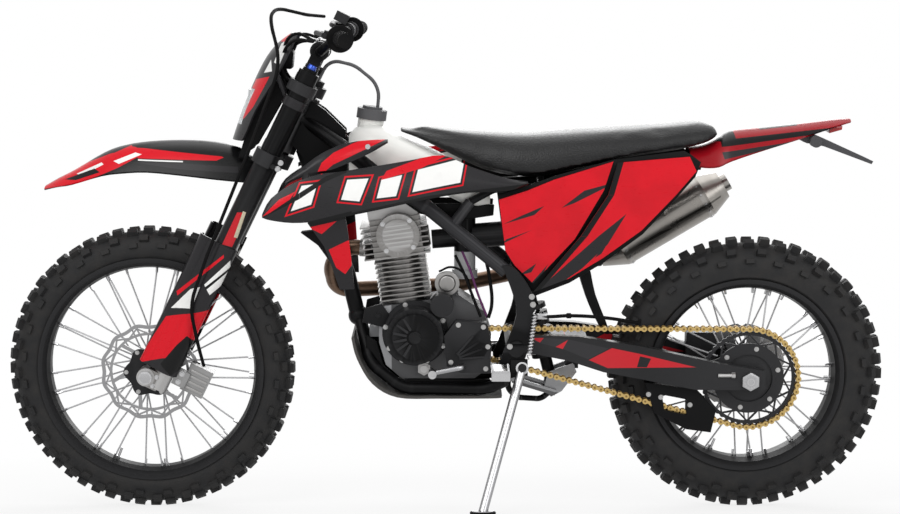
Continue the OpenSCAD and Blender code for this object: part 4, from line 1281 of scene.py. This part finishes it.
    @staticmethod
    def mask_print() -> Print:
        """Dark mask with red sides and pale flashes.

        Returns:
            The print.
        """
        return Print("mask_print", CHARCOAL, (
            Stripe(RED, ((-495, 1058), (-459, 1067), (-471, 1044), (-499, 995), (-522, 968),
                         (-537, 958), (-517, 1013))),
            Stripe(WHITE, ((-449, 1099), (-434, 1141), (-418, 1155), (-423, 1123), (-435, 1094))),
            Stripe(RED, ((-437, 1146), (-425, 1160), (-411, 1164), (-416, 1146))),
            Stripe(WHITE, ((-474, 1074), (-457, 1105), (-453, 1079)))), 0.3)

    @staticmethod
    def guard_print() -> Print:
        """Dark fork guards with pale wings, a red line and a red lower half.

        Returns:
            The print.
        """
        return Print("guard_print", CHARCOAL, (
            Stripe(RED, ((-790, 385), (-742, 456), (-712, 500), (-608, 514), (-626, 469), (-655, 430),
                         (-690, 405))),
            Stripe(BLACK, ((-728, 385), (-687, 432), (-662, 454), (-640, 430), (-668, 376), (-704, 356))),
            Stripe(WHITE, ((-700, 520), (-652, 566), (-628, 572), (-650, 520))),
            Stripe(WHITE, ((-618, 578), (-556, 634), (-560, 588), (-606, 552))),
            Stripe(BLACK, ((-616, 572), (-558, 616), (-558, 610), (-614, 565))),
            Stripe(RED, ((-686, 560), (-570, 650), (-570, 642), (-684, 550)))), 0.25)

    @staticmethod
    def fasteners() -> None:
        """Makes the one screw that shows on each shroud."""
        form = Form()
        form.bolts([(-226, -158, 908)], LEFT, 4.5, 3.0)
        form.mirrored().piece("panel_screws", BRIGHT, "steel")


@dataclass
class Running:
    """Plain finishes of the frame, engine and controls."""

    def build(self) -> None:
        """Gives every remaining node its finish."""
        coat(FRAME_PAINT, "frame_cradle", "subframe", "pivot_plates")
        coat(BLACK_ALLOY, "engine_covers", "triple_clamps", "handlebar", "hand_controls", "rear_caliper",
             "front_rim", "rear_rim", "shock")
        coat(CAST_ALLOY, "barrel", "cylinder_head", "fork_sliders")
        coat(BRIGHT, "front_axle", "rear_axle", "side_stand", "foot_controls", "drive_sprocket")
        coat(BLACK_PLASTIC, "airbox", "chain_guide")
        for finish, node in (
                (SKID_PAINT, "skid_plate"), (GREY_PAINT, "frame_spars"), (FRONT_HUB, "front_hub"),
                (REAR_HUB, "rear_hub"), (LEG_ALLOY, "fork_tubes"), (ARM_ALLOY, "swingarm"),
                (CASE_ALLOY, "crankcase"), (CALIPER_ALLOY, "front_caliper"), (CARB_ALLOY, "carburettor"),
                (LINK_ALLOY, "linkage"), (DISC_STEEL, "rear_disc"), (BRUSHED, "muffler"),
                (PIPE, "exhaust_pipe"), (CAP_PLASTIC, "tank_cap"), (GRIP_RUBBER, "grips"),
                (HOSE_RUBBER, "brake_hose"), (CLEAR, "headlight_lens"), (HOLDER_PLASTIC, "tail_light")):
            coat(finish, node)


@dataclass
class Engine:
    """Flange, bolts, plug and bracket of the engine's left side, and its wires."""
    stator: tuple[float, float] = (-118.0, 447.0)
    ring: float = 74.0
    face: float = -66.5
    cover_face: float = -118.0
    head_ring: float = 46.0
    plug: tuple[float, float] = (-97.0, 360.0)
    starter: tuple[float, float] = (-41.0, 570.0)

    def build(self) -> None:
        """Makes the small parts of the engine."""
        x, z = self.stator
        flange = Form(Matrix.Translation((x, 0, z)) @ QUARTER)
        flange.lathe([(68.4, 58.5), (80, 58.5), (80, 65), (78.5, 66.5), (68.4, 66.5)], 72)
        flange.piece("stator_flange", BLACK_ALLOY, "black_alloy")
        bolts = Form()
        round_it = ring(self.ring, (109, 168, 210, 244, 292, 335, 25))
        bolts.bolts([(x + c, self.face, z + s) for c, s in round_it], LEFT, 4.5, 5)
        on_cover = ((-32, 386), (52, 370), (57, 424), (46, 472), (-14, 477))
        bolts.bolts([(c, self.cover_face, s) for c, s in on_cover], LEFT, 4.5, 4)
        self.across(bolts, self.plug, -57, -72, 17, 6, 1.0)
        self.across(bolts, self.plug, -71, -75, 9)
        bolts.piece("engine_bolts", CAST_ALLOY, "steel")
        head = Form(Matrix.Translation((-140, 0, 520)) @ Matrix.Rotation(math.radians(-8), 4, "Y"))
        corners = ring(self.head_ring, (45, 135, 225, 315))
        head.bolts([(5 + c, -86, 169 + s) for c, s in corners], LEFT, 4.2, 5)
        head.piece("head_bolts", BRIGHT, "steel")
        plate = Form()
        plate.prism(((-246, 474), (-196, 462), (-180, 492), (-200, 520), (-240, 508)), -68, -60, 1.5)
        plate.bolts([(-208, -68, 492)], LEFT, 6, 6)
        plate.mirrored().piece("engine_mount", FRAME_PAINT, "black_frame")
        starter = Form()
        self.across(starter, self.starter, -57.8, -70, 30, 40, 2.0)
        self.across(starter, self.starter, -69, -76, 22, 32, 2.0, 18)
        starter.piece("starter_cap", CAST_ALLOY, "aluminium")
        self.wires()

    @staticmethod
    def across(form: Form, at: Point, y0: float, y1: float, *rod: float) -> None:
        """Adds a bar across the machine at a place in X and Z."""
        form.rod((at[0], y0, at[1]), (at[0], y1, at[1]), *rod)

    @staticmethod
    def wires() -> None:
        """Makes the wires and breather hoses behind the barrel."""
        purple = Form()
        purple.tube(((-5, -84, 650), (14, -88, 606), (34, -90, 545), (56, -92, 490)), 3.0)
        purple.piece("wire_loom", WIRE_RUBBER, "rubber", sharp=60)
        dark = Form()
        for r, *path in (
                (3.6, (-22, -76, 640), (-2, -82, 600), (18, -86, 548), (40, -92, 492)),
                (4.2, (50, -80, 640), (62, -86, 580), (66, -92, 520), (58, -96, 490)),
                (3.0, (-60, -74, 600), (-30, -84, 612), (0, -84, 596), (16, -80, 560)),
                (4.5, (174, -119, 499), (200, -122, 498), (250, -120, 500), (336, -114, 494),
                 (424, -100, 478))):
            dark.tube(path, r)
        dark.block((12, 10, 12), (250, -120, 500), bevel=2.0)
        dark.piece("breather_hoses", HOSE_RUBBER, "rubber", sharp=60)
        fitting = Form()
        fitting.block((26, 10, 15), (186, -120, 499), bevel=2.5)
        fitting.piece("hose_fitting", BRIGHT, "steel")


@dataclass
class Drive:
    """Nuts and bolts of the rear wheel and chain run."""
    ring: float = 74.0
    sprocket_face: float = 76.1
    nut: tuple[float, float] = (110.6, 120.6)
    arm: tuple[float, float] = (111.0, 352.0)

    def build(self) -> None:
        """Makes the sprocket bolts, axle nuts, adjusters and guide bolts."""
        wheel = Form(REAR_SPIN)
        places = ring(self.ring, range(16, 376, 60))
        wheel.bolts([(x, y, self.sprocket_face) for x, y in places], UP, 4.4, 3.0)
        wheel.piece("sprocket_bolts", CAST_ALLOY, "steel", Body.REAR_WHEEL)
        nuts, pull = Form(REAR_SPIN), Form()
        for side in SIDES:
            nuts.rod(*((0, 0, side * z) for z in self.nut), 23, 6, 1.2)
            y, z = side * self.arm[0], self.arm[1]
            pull.rod((612, y, z), (652, y, z), 4.6, 14)
            pull.rod((644, y, z), (653, y, z), 7.5, 6)
        nuts.piece("rear_axle_nuts", BRIGHT, "steel")
        pull.bolts([(x, -90, z) for x, z in ((447, 301), (477, 294), (548, 275))], LEFT, 4.5, 3.5)
        pull.bolts([(x, -126, z) for x, z in ((161, 547), (164, 528), (109, 426))], LEFT, 5.2, 4.5)
        pull.piece("chassis_bolts", CAST_ALLOY, "steel")


def dark_pair(name: str, points: Sequence[Point], y0: float, y1: float, bevel: float,
              body: Body = Body.CHASSIS) -> None:
    """Makes a dark plastic plate and its copy on the other side.

    Args:
        name: the piece's name.
        points: outline in X and Z.
        y0: outer face.
        y1: inner face.
        bevel: edge radius.
        body: the body that it rides on.
    """
    form = Form()
    form.prism(points, y0, y1, bevel)
    form.mirrored().piece(name, BLACK_PLASTIC, "black_plastic", body)


@dataclass
class FrontEnd:
    """Bolts, ribs, adjusters and the lamp housing of the fork."""
    leg: float = 105.0
    lead: float = 35.0
    clamp: float = 594.0
    bar_clamp: float = 898.0
    disc_ring: float = 56.0
    disc_face: float = 65.6

    def build(self) -> None:
        """Makes the small parts that steer, and those that turn with the wheel."""
        steel, knobs = Form(FORK), Form(FORK)
        for z in (self.clamp, self.clamp + 16):
            for side in SIDES:
                steel.bolts([(67, side * 127, z)], (0, side, 0), 5, 6)
        for side in SIDES:
            steel.rod((0, side * 127, 0), (0, side * 137, 0), 15, 6, 1.0)
            steel.bolts([(x, side * 41, self.bar_clamp) for x in (16, 50)], UP, 4, 5)
            x, y = self.lead, side * self.leg
            knobs.rod((x, y, 837.2), (x, y, 848), 12, 18, 0.8, 10)
        steel.bolts([(24, -126, z) for z in (-12, 12)], LEFT, 4.4, 5)
        steel.bolts([(74, -100, z) for z in (18, 40)], LEFT, 5.0, 5)
        steel.piece("fork_bolts", BRIGHT, "steel", Body.STEERING)
        ribs = Form(FORK)
        for z in (14, 28, 42, 56):
            ribs.block((48, 5, 6), (114, -91, z), bevel=1.2)
        ribs.piece("caliper_ribs", CAST_ALLOY, "aluminium", Body.STEERING)
        knobs.piece("fork_adjusters", BLUE, "steel", Body.STEERING)
        dark_pair("lamp_housing", ((-446, 1077), (-414, 1042), (-500, 896), (-540, 870), (-502, 983)),
                  -58, -52, 0.0, Body.STEERING)
        dial = Form(FORK)
        dial.block((30, 66, 44), (-30, 0, 826), Matrix.Rotation(math.radians(-20), 4, "Y"), 5.0)
        dial.piece("trip_meter", BLACK_PLASTIC, "black_plastic", Body.STEERING)
        cables = Form()
        for y, swing in ((-70, 0), (-52, 14), (-30, -10), (44, 6)):
            cables.tube(((-352, y * 1.9, 1150), (-396, y * 1.6, 1152 + swing), (-428, y, 1112 + swing),
                         (-424, y * 0.8, 1060), (-396, y * 0.7, 1052)), 4.0)
        cables.piece("control_cables", HOSE_RUBBER, "rubber", Body.STEERING, 60)
        disc = Form(FRONT_SPIN)
        disc.bolts([(x, y, self.disc_face) for x, y in ring(self.disc_ring, range(0, 360, 60))], UP, 4.0, 3.0)
        disc.piece("disc_bolts", CAST_ALLOY, "steel", Body.FRONT_WHEEL)


@dataclass
class Tail:
    """Lamp lens, muffler rivets, ducts and inner plates, peg teeth, and the stand's foot and spring."""
    can: tuple[tuple[float, ...], tuple[float, ...]] = ((340, 174, 597), (662, 174, 790))
    can_rings: tuple[float, float] = (70, 298)
    rivets: int = 14
    foot: float = 300.0
    spring: tuple[tuple[float, ...], tuple[float, ...]] = ((170, -134, 516), (154, -150, 400))

    def build(self) -> None:
        """Makes the small parts of the tail and the sides."""
        lens = Form()
        lens.prism(((875, 928), (905, 936.5), (906, 946), (875, 944.4)), -31, 31, 1.0)
        lens.piece("tail_lens", RED_LENS, "red_lens")
        low, high = map(Vector, self.can)
        run = (high - low).normalized()
        can = Form(Matrix.Translation(low) @ Matrix.Rotation(math.acos(run.z), 4, "Y"))
        turns = [360 * i / self.rivets for i in range(self.rivets)]
        for z in self.can_rings:
            for a, b in zip(ring(57, turns), ring(59.2, turns)):
                can.rod((*a, z), (*b, z), 3.2, 10, far=2.2)
        can.piece("muffler_rivets", BRIGHT, "steel")
        dark_pair("intake_ducts", ((-388, 704), (-305, 714), (-287, 614), (-318, 633), (-346, 673)),
                  -146, -112, 3.0)
        dark_pair("panel_backs", (
            (98, 652), (80, 788), (150, 810), (214, 834), (352, 872), (430, 882), (520, 893), (536, 884),
            (560, 866), (548, 832), (500, 776), (425, 694), (335, 627), (252, 577), (170, 545), (118, 612)),
            -104, -100, 1.0)
        dark_pair("tank_trays", ((-142, 763), (14, 763), (72, 760), (70, 734), (-22, 720), (-106, 738)),
                  -64, -56, 1.5)
        dark_pair("belly_plates", (
            (-236, 440), (-212, 424), (-196, 366), (-156, 331), (64, 331), (70, 318), (-150, 318),
            (-214, 352), (-240, 396)), -56, -50, 1.0)
        pegs = Form()
        for i in range(7):
            for x in (68, 104):
                pegs.block((7, 6, 8), (x, -148 - i * 12, 384.5), UPRIGHT, 0.8, 0.6)
        pegs.mirrored().piece("peg_teeth", BRIGHT, "steel")
        foot = Vector((43, -self.foot, self.foot * math.tan(STANCE.lean)))
        pad = Form(Matrix.Translation(foot) @ Matrix.Rotation(-STANCE.lean, 4, "X"))
        pad.lathe([(26.3, 0.4), (30.5, 0.4), (30.5, 9), (29.0, 10.5), (26.3, 10.5)], 48)
        pad.piece("stand_pad", GRIP_RUBBER, "rubber", Body.STAND)
        self.coil(*map(Vector, self.spring))

    @staticmethod
    def coil(top: Vector, foot: Vector, turns: int = 13, steps: int = 8) -> None:
        """Makes the stand's spring, which spans the stand's joint.

        Args:
            top: hook on the frame.
            foot: hook on the stand.
            turns: number of turns.
            steps: path points to a turn.
        """
        run, way = (foot - top).length, (foot - top).normalized()
        across = way.orthogonal().normalized()
        path = [top]
        for k in range(turns * steps + 1):
            out = Matrix.Rotation(math.tau * k / steps, 3, way) @ across
            path.append(top + way * (9 + (run - 18) * k / (turns * steps)) + out * 5.6)
        form = Form()
        form.tube([*path, foot], 1.7)
        form.piece("stand_coil", BRIGHT, "steel", sharp=60, replaces=("stand_spring",),
                   bend=Bend(Body.STAND, top, foot))


@dataclass
class Studio:
    """Pale floor, soft light and the camera. A lamp is its name, place, size and power."""
    eye: Point = (0.010, -4.792, 0.450)
    aim: Point = (0, 0, 0.5)
    sensor: float = 36.0
    picture_width: float = 900.0
    focal_pixels: float = 2005.6
    shift_pixels: float = 67.0
    ambient: float = 0.36
    shadow: float = 0.2
    fade_start: float = 1.1
    fade_run: float = 1.4
    lamps: tuple[tuple, ...] = (
        ("key", (-1.6, -3.4, 2.8), 3.0, 92.0), ("fill", (2.6, -3.2, 1.8), 3.0, 56.0),
        ("top", (0.2, 0.6, 4.0), 3.4, 50.0), ("back", (0.4, 3.4, 2.4), 2.6, 60.0))

    def build(self) -> None:
        """Makes the floor, the world, the lamps and the camera."""
        self.floor()
        self.world()
        for name, at, size, power in self.lamps:
            self.lamp(name, Vector(at), size, power)
        self.camera()

    def floor(self) -> None:
        """Makes a wide pale floor that keeps a soft shadow, and is plain white far off."""
        bm = bmesh.new()
        bmesh.ops.create_grid(bm, x_segments=1, y_segments=1, size=30.0)
        obj = placed("floor", baked(bm, "floor"))
        s = Shader.material("floor_paper")
        glow = s.node("ShaderNodeEmission", None, {"Color": (1.0, 1.0, 1.0), "Strength": 1.0})
        away = s.vector("LENGTH", s.node("ShaderNodeTexCoord", out="Object"))
        fade = ((away - self.fade_start) / self.fade_run).held()
        s.done(Base_Color=(0.8, 0.8, 0.8), Roughness=0.9)
        paper = Sock(s, s.tree.nodes["Principled BSDF"].outputs[0])
        share = s.seen() * (fade * self.shadow + (1.0 - self.shadow))
        mixed = s.node("ShaderNodeMixShader", None, {0: share, 1: paper, 2: glow})
        s.feed(s.tree.nodes["Material Output"].inputs["Surface"], mixed)
        obj.data.materials.append(s.owner)

    def world(self) -> None:
        """White to the camera and to reflections, soft grey as light."""
        world = bpy.data.worlds.new("studio")
        bpy.context.scene.world = world
        s = Shader(world)
        back = s.tree.nodes["Background"]
        s.feed(back.inputs["Color"], (1.0, 1.0, 1.0))
        s.feed(back.inputs["Strength"], s.seen() * (1.0 - self.ambient) + self.ambient)

    def lamp(self, name: str, at: Vector, size: float, power: float) -> None:
        """Adds a soft lamp aimed at the machine's middle.

        Args:
            name: the lamp's name.
            at: its place.
            size: its width.
            power: its power in watts.
        """
        light = bpy.data.lights.new(name, "AREA")
        light.energy = power
        light.shape = "DISK"
        light.size = size
        obj = placed(name, light)
        obj.location = at
        obj.rotation_euler = (Vector(self.aim) - at).to_track_quat("-Z", "Y").to_euler()

    def camera(self) -> None:
        """Level camera at the left, framed by its shift."""
        cam = bpy.data.cameras.new("camera")
        cam.sensor_width = self.sensor
        cam.lens = self.sensor * self.focal_pixels / self.picture_width
        cam.shift_y = self.shift_pixels / self.picture_width
        obj = placed("camera", cam)
        obj.location = self.eye
        obj.rotation_euler = (math.pi / 2, 0.0, 0.0)
        bpy.context.scene.camera = obj


def main() -> None:
    """Builds the machine's looks in order."""
    bpy.context.scene.view_settings.view_transform = "Standard"
    Studio().build()
    Running().build()
    Panels().build()
    Seat().build()
    front, rear = (Body.FRONT_WHEEL, FRONT_SPIN), (Body.REAR_WHEEL, REAR_SPIN)
    assemblies = (
        Wheel("front", *front, FRONT_TYRE, bead=268, bead_half=36, groups=28, lug=11),
        Wheel("rear", *rear, REAR_TYRE, bead=230, bead_half=44, groups=26, lug=15),
        OpenDisc("wave_disc", *front, "front_disc", DISC_STEEL, "steel", face=58.0, thick=4.0, waves=12,
                 wave=2.6, rim=(108.5, 117.0), inner=(90.5, 96.5), bars=12, arms=6),
        OpenDisc("open_sprocket", *rear, "rear_sprocket", BLACK_ALLOY, "black_alloy", face=70.0, thick=6.0,
                 waves=48, wave=1.6, rim=(105.5, 114.2), inner=(58.5, 86.0), bars=10, wave_inside=False),
        Carrier(), Chain(), Engine(), Drive(), FrontEnd(), Tail())
    for assembly in assemblies:
        assembly.build()


if __name__ == "__main__":
    main()
